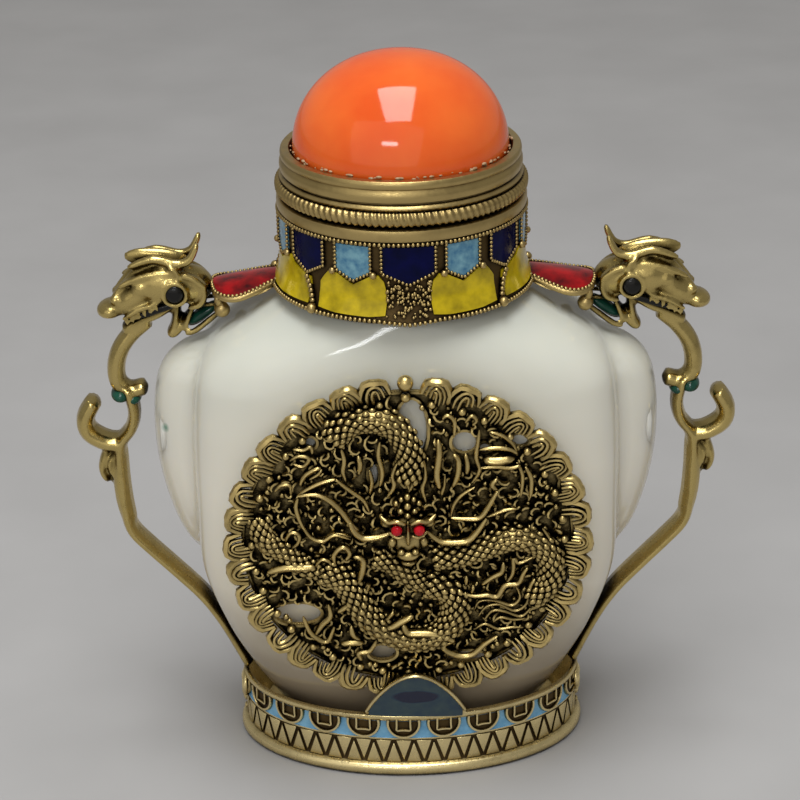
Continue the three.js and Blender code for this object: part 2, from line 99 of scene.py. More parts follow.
def added(bm, part):
    """Adds a small mesh to a piece, which is quicker than working on the whole piece."""
    scrap = bpy.data.meshes.new("scrap")
    part.to_mesh(scrap)
    part.free()
    bm.from_mesh(scrap)
    bpy.data.meshes.remove(scrap)


def stroke(bm, points, width, depth=None, taper=0.5, steps=None, sides=8, face=(0, -1, 0), bend=None):
    """Lays a closed round bar along a smooth curve; taper is its width at the ends as a share."""
    steps = steps or 4 * (len(points) - 1) + 2
    depth = depth or width
    rows = []
    for row in range(steps + 1):
        along = min(max((row - 1) / (steps - 2), 0), 1)
        centre = smooth_point(points, along)
        tangent = smooth_point(points, min(along + 0.02, 1)) - smooth_point(points, max(along - 0.02, 0))
        tangent.normalize()
        side = tangent.cross(Vector(face)).normalized()
        end = row in (0, steps)
        size = 0 if end else taper + (1 - taper) * (4 * along * (1 - along)) ** 0.6
        tip = (0.5 * width * taper) * ((row == steps) - (row == 0))
        rows.append((centre + tangent * tip, side * width * size, side.cross(tangent) * depth * size))
    part = bmesh.new()
    bmesh.ops.create_grid(part, x_segments=sides, y_segments=steps, size=1)
    for vert in part.verts:
        centre, wide, deep = rows[round((vert.co.y + 1) / 2 * steps)]
        angle = math.pi * vert.co.x
        vert.co = centre + wide * math.cos(angle) + deep * math.sin(angle)
        if bend:
            vert.co = bend(vert.co)
    added(bm, part)


balls = {}


def ball(bm, place, halves, segments=16, turn=None):
    """A ball at a place, stretched to three half sizes."""
    if segments not in balls:
        balls[segments] = bmesh.new()
        bmesh.ops.create_uvsphere(balls[segments], u_segments=segments, v_segments=segments * 2 // 3,
                                  radius=1)
    part = balls[segments].copy()
    if isinstance(halves, (int, float)):
        halves = (halves, halves, halves)
    part.transform(Matrix.LocRotScale(Vector(place), turn, Vector(halves)))
    added(bm, part)


def oval(rim):
    """A table of arc length round the oval of a wall, from the middle of its front."""
    table, length = [(0.0, -math.pi / 2)], 0.0
    count = 720
    for i in range(count):
        turn = -math.pi / 2 + 2 * math.pi * (i + 1) / count
        ahead = Vector(((rim + STRETCH) * math.cos(turn), rim * math.sin(turn)))
        before = turn - 2 * math.pi / count
        behind = Vector(((rim + STRETCH) * math.cos(before), rim * math.sin(before)))
        length += (ahead - behind).length
        table.append((length, turn))
    return table


WALL = BASE_DEPTH / 2 - WALL_INSET
wall_table = oval(WALL)
WALL_LENGTH = wall_table[-1][0]


def on_wall(across, height, out):
    """A place on the base's wall: along the wall from its front, up, and out of it."""
    reach = across % WALL_LENGTH
    row = min(int(reach / WALL_LENGTH * (len(wall_table) - 1)), len(wall_table) - 2)
    while wall_table[row + 1][0] < reach:
        row += 1
    while wall_table[row][0] > reach:
        row -= 1
    (low, turn), (high, turn_on) = wall_table[row], wall_table[row + 1]
    turn += (turn_on - turn) * (reach - low) / (high - low)
    point = Vector(((WALL + STRETCH) * math.cos(turn), WALL * math.sin(turn), height))
    normal = Vector((math.cos(turn) / (WALL + STRETCH), math.sin(turn) / WALL, 0)).normalized()
    return point + normal * out


def shader(name):
    """A new material, its nodes, a function that links them, and its main shader."""
    material = bpy.data.materials.new(name)
    material.use_nodes = True
    nodes, links = material.node_tree.nodes, material.node_tree.links
    return material, nodes, links.new, nodes["Principled BSDF"]


def speckle(nodes, link, size, detail=3.0, stretch=(1, 1, 1)):
    """Noise whose grains are about size millimetres across."""
    where = nodes.new("ShaderNodeTexCoord")
    mapping = nodes.new("ShaderNodeMapping")
    mapping.inputs["Scale"].default_value = stretch
    noise = nodes.new("ShaderNodeTexNoise")
    noise.inputs["Scale"].default_value = 1 / (size * MM)
    noise.inputs["Detail"].default_value = detail
    link(where.outputs["Object"], mapping.inputs["Vector"])
    link(mapping.outputs["Vector"], noise.inputs["Vector"])
    return noise.outputs["Fac"]


def blend(nodes, link, kind, *values):
    """Math on values, each a socket or a number."""
    node = nodes.new("ShaderNodeMath")
    node.operation = kind
    node.use_clamp = True
    for socket, value in zip(node.inputs, values):
        if isinstance(value, (int, float)):
            socket.default_value = value
        else:
            link(value, socket)
    return node.outputs["Value"]


def ramp(nodes, link, value, stops):
    """Colours read off a value."""
    node = nodes.new("ShaderNodeValToRGB")
    stop = node.color_ramp.elements
    while len(stop) < len(stops):
        stop.new(0.5)
    for element, (place, colour) in zip(stop, stops):
        element.position = place
        element.color = (*colour, 1)
    link(value, node.inputs["Fac"])
    return node.outputs["Color"]


def bumped(nodes, link, shader_node, value, strength, height):
    """Raises the surface by a value, height in millimetres."""
    node = nodes.new("ShaderNodeBump")
    node.inputs["Strength"].default_value = strength
    node.inputs["Distance"].default_value = height * MM
    link(value, node.inputs["Height"])
    link(node.outputs["Normal"], shader_node.inputs["Normal"])


def brass(name, bright, middle, dark, crevice, rough, mottle=2.2, relief=0.05):
    """Cast gilt brass: bright where it is rubbed and dark in its hollows."""
    material, nodes, link, main = shader(name)
    hollow = nodes.new("ShaderNodeAmbientOcclusion")
    hollow.samples = 8
    hollow.inputs["Distance"].default_value = crevice * MM
    cloud = speckle(nodes, link, mottle, 5)
    grains = speckle(nodes, link, 0.5, 2)
    open_air = blend(nodes, link, "POWER", hollow.outputs["AO"], 1.3)
    height = blend(nodes, link, "MULTIPLY_ADD", cloud, 0.5, blend(nodes, link, "SUBTRACT", open_air, 0.25))
    link(ramp(nodes, link, height, [(0.28, dark), (0.62, middle), (0.98, bright)]), main.inputs["Base Color"])
    main.inputs["Metallic"].default_value = 1
    link(blend(nodes, link, "MULTIPLY_ADD", grains, 0.3, rough - 0.15), main.inputs["Roughness"])
    bumped(nodes, link, main, grains, 0.35, relief)
    return material


def enamel(name, light, dark, mottle=1.5, rough=0.13, shine=0.3):
    """Fused enamel: glossy, and a little uneven in its colour and its surface."""
    material, nodes, link, main = shader(name)
    cloud = speckle(nodes, link, mottle, 4)
    link(ramp(nodes, link, cloud, [(0.3, dark), (0.68, light)]), main.inputs["Base Color"])
    main.inputs["Roughness"].default_value = rough
    main.inputs["Specular IOR Level"].default_value = shine
    bumped(nodes, link, main, cloud, 0.25, 0.12)
    return material


gilt = brass("gilt_brass", (0.82, 0.67, 0.34), (0.46, 0.36, 0.16), (0.03, 0.02, 0.008), 0.9, 0.3)
sky_enamel = enamel("sky_blue_enamel", (0.24, 0.5, 0.7), (0.12, 0.32, 0.52))
groove_brass = brass("blackened_brass", (0.1, 0.065, 0.025), (0.05, 0.032, 0.014),
                     (0.01, 0.007, 0.004), 0.6, 0.5)

bm = bmesh.new()
edge, rim = BASE_DEPTH / 2, BASE_DEPTH / 2 - 0.5
turned(bm, [
    (0.001, 0.3), (edge - 3, 0.3), (edge - 2.6, 0), (edge - 0.5, 0), (edge - 0.16, 0.14), (edge, 0.5),
    (edge, 0.95), (edge - 0.14, 1.3), (edge - 0.42, 1.52), (WALL + 0.1, FOOT_ROLL), (WALL, FOOT_ROLL + 0.1),
    (WALL, BAND_RISE - 0.15), (WALL + 0.1, BAND_RISE - 0.1), (WALL + 0.12, BAND_RISE),
    (WALL + 0.1, BAND_RISE + 0.1), (WALL, BAND_RISE + 0.15), (WALL, BASE_HEIGHT - 0.95),
    (rim - 0.1, BASE_HEIGHT - 0.62), (rim, BASE_HEIGHT - 0.4), (rim, BASE_HEIGHT - 0.14),
    (rim - 0.16, BASE_HEIGHT), (rim - 0.6, BASE_HEIGHT), (rim - 0.75, BASE_HEIGHT - 0.2),
    (edge - 3.4, 3.5), (edge - 3.9, 3.4), (0.001, 3.4),
], 160)


def stretched(co):
    radius = math.hypot(co.x, co.y)
    return Vector((co.x + (STRETCH * co.x / radius if radius > 0.1 else 0), co.y, co.z))


moved(bm, 0, stretched)
for face in bm.faces:
    centre = face.calc_center_median()
    across = math.hypot(centre.x / (WALL + STRETCH), centre.y / WALL)
    if 0.99 < across < 1.004 and FOOT_ROLL < centre.z < BASE_HEIGHT - 0.9:
        face.material_index = 2 if centre.z < BAND_RISE else 1
COINS = 22
COIN_RADIUS, COIN_HEIGHT = 1.9, 7.1
COIN_START = 1.45
TRIANGLES = 44
pitch = WALL_LENGTH / COINS
for k in range(COINS):
    middle = COIN_START + (k + 0.5) * pitch
    ring = [(COIN_RADIUS * math.cos(t * math.pi / 12), 0, COIN_RADIUS * math.sin(t * math.pi / 12))
            for t in range(-13, 2)]
    ring = [(x, 0, z + COIN_HEIGHT) for x, _, z in ring if z + COIN_HEIGHT < BASE_HEIGHT - 0.7]

    def bend(co, at=middle):
        return on_wall(at + co.x, co.z, 0.05 - co.y)

    stroke(bm, ring, 0.24, 0.34, taper=1, steps=len(ring) + 3, sides=6, bend=bend)
    half = 0.82
    frame_line = [(-half, 0, 1.0), (-half, 0, -0.15), (-half, 0, -half), (-0.3, 0, -half), (0.3, 0, -half),
                  (half, 0, -half), (half, 0, -0.15), (half, 0, 1.0)]
    stroke(bm, [(x, 0, z + COIN_HEIGHT - 0.1) for x, _, z in frame_line], 0.2, 0.3, taper=1, steps=20,
           sides=6, bend=bend)
    part = bmesh.new()
    bmesh.ops.create_circle(part, cap_ends=True, cap_tris=True, segments=20, radius=COIN_RADIUS)
    bmesh.ops.subdivide_edges(part, edges=part.edges, cuts=2, use_grid_fill=True)
    for face in part.faces:
        face.material_index = 2
    moved(part, 0, lambda co, at=middle: on_wall(
        at + co.x, min(co.y, BASE_HEIGHT - 0.95 - COIN_HEIGHT) + COIN_HEIGHT, 0.08))
    added(bm, part)
step = WALL_LENGTH / (2 * TRIANGLES)
LOW, HIGH = FOOT_ROLL + 0.05, BAND_RISE - 0.18
GROOVE = 0.17
for k in range(2 * TRIANGLES):
    middle = COIN_START + k * step
    point = 1 if k % 2 else -1
    corners = [(-step + GROOVE * 1.8, -point), (step - GROOVE * 1.8, -point), (0, point * 0.8)]
    part = bmesh.new()
    verts = [part.verts.new((x, 0, (LOW + HIGH) / 2 + z * (HIGH - LOW) / 2)) for x, z in corners]
    pad = bmesh.ops.extrude_face_region(part, geom=[part.faces.new(verts)])
    top = [item for item in pad["geom"] if isinstance(item, bmesh.types.BMVert)]
    bmesh.ops.translate(part, vec=(0, -0.22, 0), verts=top)
    ridge = [item for item in pad["geom"] if isinstance(item, bmesh.types.BMEdge)]
    bmesh.ops.bevel(part, geom=ridge, offset=0.09, segments=2, profile=0.5, affect="EDGES", material=-1)
    moved(part, 0, lambda co, at=middle: on_wall(at + co.x, co.z, -co.y))
    added(bm, part)
for hand in (-1, 1):
    end = BASE_LENGTH / 2 - 0.5
    for y, z, size in ((0, 6.4, 1.3), (-1.7, 5.3, 0.8), (1.7, 5.3, 0.8), (0, 3.6, 0.75), (0, 2.2, 0.5)):
        ball(bm, (hand * (end - size * 0.3), y, z), (size * 0.63, size * 0.91, size * 0.84), 14)
    for side in (-1, 1):
        curl = [(hand * (end - 0.3), side * y, z) for y, z in
                ((0.3, 7.9), (1.6, 7.6), (2.5, 6.6), (2.2, 5.6), (1.4, 5.7), (1.3, 6.4))]
        stroke(bm, curl, 0.42, 0.5, face=(hand, 0, 0))
finished(bm, "base_casting", [gilt, sky_enamel, groove_brass], "gilt_brass", "base")

# The lappet: a small arched tab of brass at the front of the base's rim, leaning out a little.
# Its field is dark blue-green enamel, inside a fine raised edge.
LAPPET_HALF, LAPPET_RISE, LAPPET_MIDDLE, LAPPET_LEAN = 6.1, 6.7, 0.5, 2.0
bm = bmesh.new()


def on_lappet(across, up, out):
    """A place on the tab: from side to side, up it, and out of it."""
    arch = math.cos(across * math.pi / 2) ** 0.85
    ellipse = (BASE_DEPTH / 2 - 0.5) * math.sqrt(1 - (across * LAPPET_HALF / (BASE_LENGTH / 2)) ** 2)
    return Vector((LAPPET_MIDDLE + across * LAPPET_HALF, -(ellipse - 0.3) - out - LAPPET_LEAN * up * arch,
                   BASE_HEIGHT - 0.4 + up * (arch * LAPPET_RISE + 0.4)))


teal_enamel, nodes, link, main = shader("lappet_enamel")
where = nodes.new("ShaderNodeTexCoord")
mapping = nodes.new("ShaderNodeMapping")
mapping.inputs["Location"].default_value = (-0.14, 0, -8.8)
mapping.inputs["Scale"].default_value = (1 / (3.6 * MM), 0, 1 / (1.3 * MM))
gradient = nodes.new("ShaderNodeTexGradient")
gradient.gradient_type = "SPHERICAL"
link(where.outputs["Object"], mapping.inputs["Vector"])
link(mapping.outputs["Vector"], gradient.inputs["Vector"])
spot = blend(nodes, link, "MULTIPLY_ADD", speckle(nodes, link, 1.4, 3), 0.3,
             blend(nodes, link, "SUBTRACT", gradient.outputs["Fac"], 0.15))
link(ramp(nodes, link, spot, [(0.08, (0.035, 0.065, 0.07)), (0.2, (0.015, 0.04, 0.065)),
                              (0.3, (0.004, 0.007, 0.03))]), main.inputs["Base Color"])
main.inputs["Roughness"].default_value = 0.12
bmesh.ops.create_grid(bm, x_segments=24, y_segments=12, size=1)
moved(bm, 0, lambda co: on_lappet(co.x * 0.93, (co.y + 1) / 2 * 0.94, 0.2))
finished(bm, "base_lappet_enamel", [teal_enamel], "gilt_brass")
bm = bmesh.new()
bmesh.ops.create_grid(bm, x_segments=24, y_segments=12, size=1)
bmesh.ops.solidify(bm, geom=list(bm.faces), thickness=0.5)
low_side = min(vert.co.z for vert in bm.verts)
moved(bm, 0, lambda co: on_lappet(co.x, (co.y + 1) / 2, -0.35 if co.z < low_side + 0.1 else 0.12))
stroke(bm, [on_lappet(-0.97 + 1.94 * t / 20, 0.98, 0.1) for t in range(21)], 0.22, 0.32, taper=1)
finished(bm, "base_lappet_edge", [gilt], "gilt_brass")

# The bottle: one piece of milky white glass, flattened, with broad shoulders, a raised panel
# down each narrow side and a bore up its neck. It stands in the tray of the base. Each row of
# its form is a share of the height, of the half width and half depth, and how square it is.
BOTTLE_FOOT, BOTTLE_HEIGHT, BOTTLE_WIDTH, BOTTLE_DEPTH = 3.7, 65.3, 50.4, 29.2
BOTTLE_WALL, BORE, NECK, MOUTH = 3.0, 5.0, 12.5, 69.0
PANEL_LOW, PANEL_HIGH, SIDE, PANEL_DEPTH = 23.9, 53.1, 30.1, 19.0
BODY = [
    (0, 0.6, 0.59, 2.2), (0.03, 0.67, 0.66, 2.2), (0.063, 0.725, 0.715, 2.3), (0.12, 0.805, 0.785, 2.6),
    (0.202, 0.895, 0.86, 3.2), (0.322, 0.985, 0.93, 4), (0.433, 1, 0.975, 4.4), (0.6, 1, 1, 4.4),
    (0.702, 0.98, 0.995, 4), (0.74, 0.945, 0.985, 3.6), (0.77, 0.88, 0.97, 3.2), (0.798, 0.78, 0.945, 2.8),
    (0.822, 0.67, 0.91, 2.4), (0.842, 0.57, 0.875, 2.1), (0.858, 0.495, 0.84, 2),
]
PANEL = [
    (0, 0.79, 0.45), (0.1, 0.885, 0.8), (0.24, 0.945, 0.97), (0.45, 0.99, 1), (0.65, 1, 1),
    (0.8, 0.985, 0.96), (0.89, 0.95, 0.88), (0.96, 0.875, 0.7), (1, 0.77, 0.4),
]


def form_at(table, share, column):
    """One column of a form at a share of the height, on a smooth curve through its rows."""
    held = min(table[-1][0], max(0, share))
    row = max(i for i in range(len(table) - 1) if table[i][0] <= held)
    low, high = table[row], table[row + 1]
    before, after = table[max(0, row - 1)], table[min(len(table) - 1, row + 2)]
    span = high[0] - low[0]
    t = (held - low[0]) / span
    slope_low = (high[column] - before[column]) / (high[0] - before[0]) * span
    slope_high = (after[column] - low[column]) / (after[0] - low[0]) * span
    rise = (3 - 2 * t) * t * t
    return ((1 - rise) * low[column] + rise * high[column]
            + t * (1 - t) * ((1 - t) * slope_low - t * slope_high))


def half_depth(height):
    return form_at(BODY, (height - BOTTLE_FOOT) / BOTTLE_HEIGHT, 2) * BOTTLE_DEPTH / 2


def reach(cosine, sine, half_width, depth, square):
    return (abs(cosine / half_width) ** square + abs(sine / depth) ** square) ** (-1 / square)


def glass_skin(co):
    """Moves a place on a plain turned shape of radius 1 to the bottle's outer face."""
    radius = math.hypot(co.x, co.y)
    if radius < 0.0005:
        return Vector((0, 0, co.z))
    cosine, sine = co.x / radius, co.y / radius
    share = (co.z - BOTTLE_FOOT) / BOTTLE_HEIGHT
    body = reach(cosine, sine, form_at(BODY, share, 1) * BOTTLE_WIDTH / 2,
                 form_at(BODY, share, 2) * BOTTLE_DEPTH / 2, form_at(BODY, share, 3))
    up = (co.z - PANEL_LOW) / (PANEL_HIGH - PANEL_LOW)
    if 0 <= up <= 1:
        panel = reach(cosine, sine, form_at(PANEL, up, 1) * SIDE,
                      form_at(PANEL, up, 2) * PANEL_DEPTH / 2, 2.4)
        soft = 0.35
        gap = (panel - body) / soft
        body += soft * (math.log1p(math.exp(-abs(gap))) + max(gap, 0))
        body -= soft * math.log(2) * math.exp(-gap * gap)
    return Vector((cosine * body * radius, sine * body * radius, co.z))


SPECK, SPECK_RADIUS = (-28.46, -3.95, 42.7), 0.75
white_glass, nodes, link, main = shader("white_glass")
where = nodes.new("ShaderNodeTexCoord")
place = nodes.new("ShaderNodeSeparateXYZ")
link(where.outputs["Object"], place.inputs["Vector"])
height = blend(nodes, link, "MULTIPLY", place.outputs["Z"], 1 / (BOTTLE_HEIGHT * MM))
cloud = speckle(nodes, link, 14, 2)
height = blend(nodes, link, "MULTIPLY_ADD", cloud, 0.16, blend(nodes, link, "SUBTRACT", height, 0.08))
# The glass's milky white with painted shade: the colour turns darker and browner towards the bottom, and
# greyer again towards the neck.
milk_and_painted_shade = ramp(nodes, link, height, [(0.05, (0.14, 0.1, 0.06)), (0.2, (0.36, 0.3, 0.21)),
                                  (0.38, (0.82, 0.76, 0.63)), (0.6, (0.85, 0.81, 0.7)),
                                  (0.9, (0.6, 0.61, 0.54))])
away = nodes.new("ShaderNodeVectorMath")
away.operation = "DISTANCE"
away.inputs[1].default_value = [value * MM for value in SPECK]
link(where.outputs["Object"], away.inputs[0])
far = blend(nodes, link, "MULTIPLY", away.outputs["Value"], 1 / (SPECK_RADIUS * MM))
green_speck = ramp(nodes, link, far, [(0.2, (0.28, 0.48, 0.4)), (0.9, (1, 1, 1))])
tint = nodes.new("ShaderNodeMix")
tint.data_type, tint.blend_type = "RGBA", "MULTIPLY"
tint.inputs[0].default_value = 1
link(milk_and_painted_shade, tint.inputs[6])
link(green_speck, tint.inputs[7])
link(tint.outputs[2], main.inputs["Base Color"])
main.inputs["Roughness"].default_value = 0.09
main.inputs["IOR"].default_value = 1.5
main.inputs["Subsurface Weight"].default_value = 0.35
main.inputs["Subsurface Radius"].default_value = (1.0, 0.9, 0.7)
main.inputs["Subsurface Scale"].default_value = 3 * MM
bumped(nodes, link, main, speckle(nodes, link, 9, 1), 0.15, 0.25)

bm = bmesh.new()
rows = 90
shoulder = BOTTLE_FOOT + BODY[-1][0] * BOTTLE_HEIGHT
skin = [(1, BOTTLE_FOOT + (shoulder - BOTTLE_FOOT) * (i / rows)) for i in range(rows + 1)]
turned(bm, [(0.0001, BOTTLE_FOOT + 0.6), (0.55, BOTTLE_FOOT + 0.5), (0.8, BOTTLE_FOOT)] + skin, 160)
moved(bm, 0, glass_skin)
since = len(bm.verts)
low, high = BOTTLE_FOOT + BOTTLE_WALL, shoulder - BOTTLE_WALL
hollow = [(1, low + (high - low) * i / 20) for i in range(20, -1, -1)]
turned(bm, [(2, MOUTH - 0.5), (2.01, MOUTH), (3, MOUTH), (3.01, high + 1)] + hollow + [(0.0001, low)], 160)


def inner_skin(co):
    """The neck's outer face, its rim and bore, and the hollow below them."""
    kind = math.hypot(co.x, co.y)
    if kind < 0.5:
        return Vector((0, 0, co.z))
    cosine, sine = co.x / kind, co.y / kind
    if kind > 1.5:
        radius = NECK if kind < 2.5 else BORE
        return Vector((cosine * radius, sine * radius, co.z if kind != 2 else shoulder))
    share = (co.z - BOTTLE_FOOT) / BOTTLE_HEIGHT
    past = max(0, abs(2 * (co.z - low) / (high - low) - 1) - 0.6) / 0.4
    rounding = math.sqrt(max(1 - 0.6 * past**2, 0))
    wide = (form_at(BODY, share, 1) * BOTTLE_WIDTH / 2 - BOTTLE_WALL) * rounding
    deep = (form_at(BODY, share, 2) * BOTTLE_DEPTH / 2 - BOTTLE_WALL) * rounding
    size = reach(cosine, sine, wide, deep, 2.6)
    return Vector((cosine * size, sine * size, co.z))


moved(bm, since, inner_skin)
RING_RADIUS = 3.6
for hand in (-1, 1):
    middle = PANEL_LOW + 0.6 * (PANEL_HIGH - PANEL_LOW)
    ring = [(hand * (SIDE - 1.35), RING_RADIUS * math.sin(t * math.pi / 8),
             middle + RING_RADIUS * math.cos(t * math.pi / 8)) for t in range(17)]
    stroke(bm, ring, 0.42, 0.5, taper=1, steps=50, face=(hand, 0, 0))
    for y, z, wide, tall in ((0, 5.2, 1.9, 1.5), (-1.5, 6.1, 0.8, 0.8), (1.5, 6.1, 0.8, 0.8),
                             (0, 4.1, 0.9, 0.9)):
        ball(bm, (hand * (SIDE - 1.4), y, middle + z), (0.62, wide, tall), 20)
finished(bm, "bottle_glass", [white_glass], "white_glass", "bottle", crease=60)

# The collar: a gilt band soldered round the neck. Beaded wire divides it into cells of dark and
# pale blue enamel, with yellow lobes below them, and a leaf of red enamel reaches out at each side.
COLLAR_RADIUS, COLLAR_TOP, COLLAR_FOOT = 14.4, 70.7, 60.1
CELLS, WIRE_BEADS, GRAINS = 14, 168, 130
TURN = 2.5


def on_collar(angle, height, out=0.0):
    """A place on the band at an angle in degrees from the front; it flares out below."""
    flare = max(0, min(1, (COLLAR_FOOT + 2.8 - height) / 2.8))
    radius = COLLAR_RADIUS + 0.9 * flare**1.5 + out
    turn = math.radians(angle + TURN)
    return Vector((radius * math.sin(turn), -radius * math.cos(turn), height))


def beads(bm, points, size, pitch):
    """A row of small balls along straight runs between points."""
    carried = 0.0
    for a, b in zip(points, points[1:]):
        a, b = Vector(a), Vector(b)
        length = (b - a).length
        while carried < length:
            ball(bm, a + (b - a) * (carried / length), size, 7)
            carried += pitch
        carried -= length


navy_enamel = enamel("navy_enamel", (0.002, 0.003, 0.045), (0.001, 0.002, 0.018), 2.0, shine=0.08)
pale_enamel = enamel("pale_blue_enamel", (0.2, 0.4, 0.48), (0.05, 0.17, 0.3), 1.0)
yellow_enamel = enamel("yellow_enamel", (0.7, 0.52, 0.01), (0.3, 0.22, 0.005), 2.2)
red_enamel = enamel("red_enamel", (0.34, 0.003, 0.005), (0.04, 0.001, 0.002), 2.4)
aged = brass("aged_brass", (0.5, 0.37, 0.15), (0.26, 0.18, 0.07), (0.02, 0.014, 0.007), 0.5, 0.36)

bm = bmesh.new()
ring_foot = COLLAR_TOP - 1.5
flares = [(COLLAR_RADIUS - 0.25 + 0.9 * max(0, (2.8 - rise) / 2.8) ** 1.5, COLLAR_FOOT + rise)
          for rise in (-0.2, 0.4, 1, 1.8, 2.8, 5, ring_foot - 0.2 - COLLAR_FOOT)]
turned(bm, [(13.2, COLLAR_FOOT)] + flares + [
    (COLLAR_RADIUS - 0.3, ring_foot), (COLLAR_RADIUS + 0.02, ring_foot + 0.12),
    (COLLAR_RADIUS + 0.1, ring_foot + 0.4), (COLLAR_RADIUS + 0.1, COLLAR_TOP - 0.4),
    (COLLAR_RADIUS, COLLAR_TOP - 0.12), (COLLAR_RADIUS - 0.3, COLLAR_TOP),
    (BORE, COLLAR_TOP), (BORE, MOUTH + 0.3), (NECK + 0.3, MOUTH + 0.3), (NECK + 0.3, COLLAR_FOOT),
    (13.2, COLLAR_FOOT)], 168)
for face in bm.faces:
    centre = face.calc_center_median()
    if centre.z < ring_foot and math.hypot(centre.x, centre.y) > 13.5:
        face.material_index = 1
finished(bm, "collar_band", [aged, groove_brass], "gilt_brass", "collar")

cell_top, cell_low, cell_point = ring_foot - 0.55, 65.6, 64.2
outline_low = 60.35
wires = bmesh.new()
for k in range(WIRE_BEADS):
    angle = k * 360 / WIRE_BEADS
    drop = 0.4 * max(0, 1 - min(angle, 360 - angle) / 14)
    ball(wires, on_collar(angle, ring_foot - 0.22, -0.02), 0.27, 7)
    ball(wires, on_collar(angle, outline_low - 0.15 - drop, -0.05), 0.27, 7)
cells = {"navy": bmesh.new(), "pale": bmesh.new(), "yellow": bmesh.new()}


def patch(bm, outline, out):
    """A thin curved plate of enamel that fills an outline of (angle, height) points."""
    part = bmesh.new()
    face = part.faces.new([part.verts.new((angle, 0, height)) for angle, height in outline])
    plate = bmesh.ops.extrude_face_region(part, geom=[face])
    front = {item for item in plate["geom"] if isinstance(item, bmesh.types.BMVert)}
    bmesh.ops.translate(part, vec=(0, 1, 0), verts=list(front))
    bmesh.ops.triangulate(part, faces=part.faces)
    bmesh.ops.subdivide_edges(part, edges=part.edges, cuts=3, use_grid_fill=True)
    moved(part, 0, lambda co: on_collar(co.x, co.z, out if co.y > 0.5 else -0.3))
    added(bm, part)


for k in range(CELLS):
    angle = k * 360 / CELLS
    dark = k % 2 == 0
    half = (6.1 if k == 0 else 5.2 if dark else 4.3) / 2 / COLLAR_RADIUS * 180 / math.pi
    point = cell_point if dark else cell_point + 0.25
    house = [(angle - half, cell_top), (angle - half, cell_low), (angle, point), (angle + half, cell_low),
             (angle + half, cell_top)]
    patch(cells["navy" if dark else "pale"], house, -0.08)
    beads(wires, [on_collar(a, z, 0.0) for a, z in house], 0.22, 0.47)
    if not dark:
        low = outline_low + 0.25
        lobe = [(angle, point - 0.45)]
        for way in (1, -1):
            edge = 15.8 if (way > 0) == (k > 7) else 17.5
            if k in (3, CELLS - 3) and edge < 17:
                edge = 28.5
            side = [(half, cell_low - 0.4), (half + 3.4, cell_low - 0.3), (half + 6, cell_low - 1),
                    (edge - 0.4, point - 0.7), (edge, low + 1.6), (edge - 0.6, low + 0.2), (8, low)]
            lobe += [(angle + way * across, z) for across, z in side[::way]]
        patch(cells["yellow"], lobe, -0.03)
        for hand in (-1, 1):
            ball(wires, on_collar(angle + hand * half * 1.15, cell_low - 0.25, 0.12), 0.42, 12)
    elif k:
        lean = 6 if k == 2 else -6 if k == CELLS - 2 else 0
        for step in range(7):
            ball(wires, on_collar(angle - lean * step / 6, point - 0.5 - step * 0.5, 0.0), 0.34, 8)
        ball(wires, on_collar(angle - lean, outline_low + 0.1, 0.15), 0.6, 12)
    else:
        seeded = random.Random(5)
        for step in range(GRAINS):
            across = seeded.uniform(-10, 10)
            height = seeded.uniform(outline_low + 0.2, point - 0.4 + abs(across) * 0.09)
            ball(wires, on_collar(across, height), seeded.uniform(0.14, 0.26), 7)
for key, material in (("navy", navy_enamel), ("pale", pale_enamel), ("yellow", yellow_enamel)):
    finished(cells[key], f"collar_{key}_enamel", [material], "gilt_brass")

petals = bmesh.new()
for hand in (-1, 1):
    root, tip, top = COLLAR_RADIUS - 0.6, 22.4, 61.4

    def on_arm(along, across, out, hand=hand):
        x = root + along * (tip - root)
        fall = 0.7 + 1.3 * along + 1.1 * across**2
        return Vector((hand * x, across * 4.3, top - fall + out))

    part = bmesh.new()
    bmesh.ops.create_grid(part, x_segments=16, y_segments=10, size=1)
    for vert in part.verts:
        along = (vert.co.x + 1) / 2
        width = 0.36 + 0.54 * math.sin(math.pi * min(0.72, along * 0.66 + 0.06)) ** 1.2 - 0.45 * along**8
        vert.co = on_arm(along, vert.co.y * width, 0.45 - 0.25 * abs(vert.co.y) ** 3)
    added(petals, part)
    rim_line = [(0.02, 0.42), (0.2, 0.6), (0.4, 0.8), (0.6, 0.92), (0.78, 0.88), (0.93, 0.66), (0.99, 0.3),
                (1.0, 0.05)]
    for side in (-1, 1):
        line = [on_arm(a, side * w, 0.35) for a, w in rim_line]
        beads(wires, [smooth_point(line, i / 30) for i in range(31)], 0.26, 0.5)
        stroke(wires, [on_arm(a, side * w * 1.02, 0.0) for a, w in rim_line], 0.26, 0.36, taper=0.8,
               face=(0, 0, 1))
    part = bmesh.new()
    bmesh.ops.create_uvsphere(part, u_segments=24, v_segments=12, radius=1)
    moved(part, 0, lambda co: on_arm((co.x + 1) / 2, co.y * 0.86, co.z * 0.6 - 0.3))
    added(wires, part)
    for side in (-1, 1):
        stem = [on_arm(0.9, side * 0.75, 0), (hand * 21.6, side * 3, 58.3), (hand * 21.2, side * 2.6, 57.2)]
        stroke(wires, stem, 0.45)
        ball(wires, (hand * 21.2, side * 2.6, 57.1), 0.95)
finished(petals, "collar_red_enamel", [red_enamel], "gilt_brass")
finished(wires, "collar_wirework", [aged], "gilt_brass")

# The handles: two gilt castings, a mirrored pair. Each rises from the base as a strap, opens in a
# scroll, bends back as a neck and ends in a dragon's head, whose leaf reaches for the collar.
STRAP_FOOT, SCROLL_REACH, HANDLE_FOOT, HANDLE_TOP = 20.2, 9.5, 8.9, 65.6
HEAD = 13.0


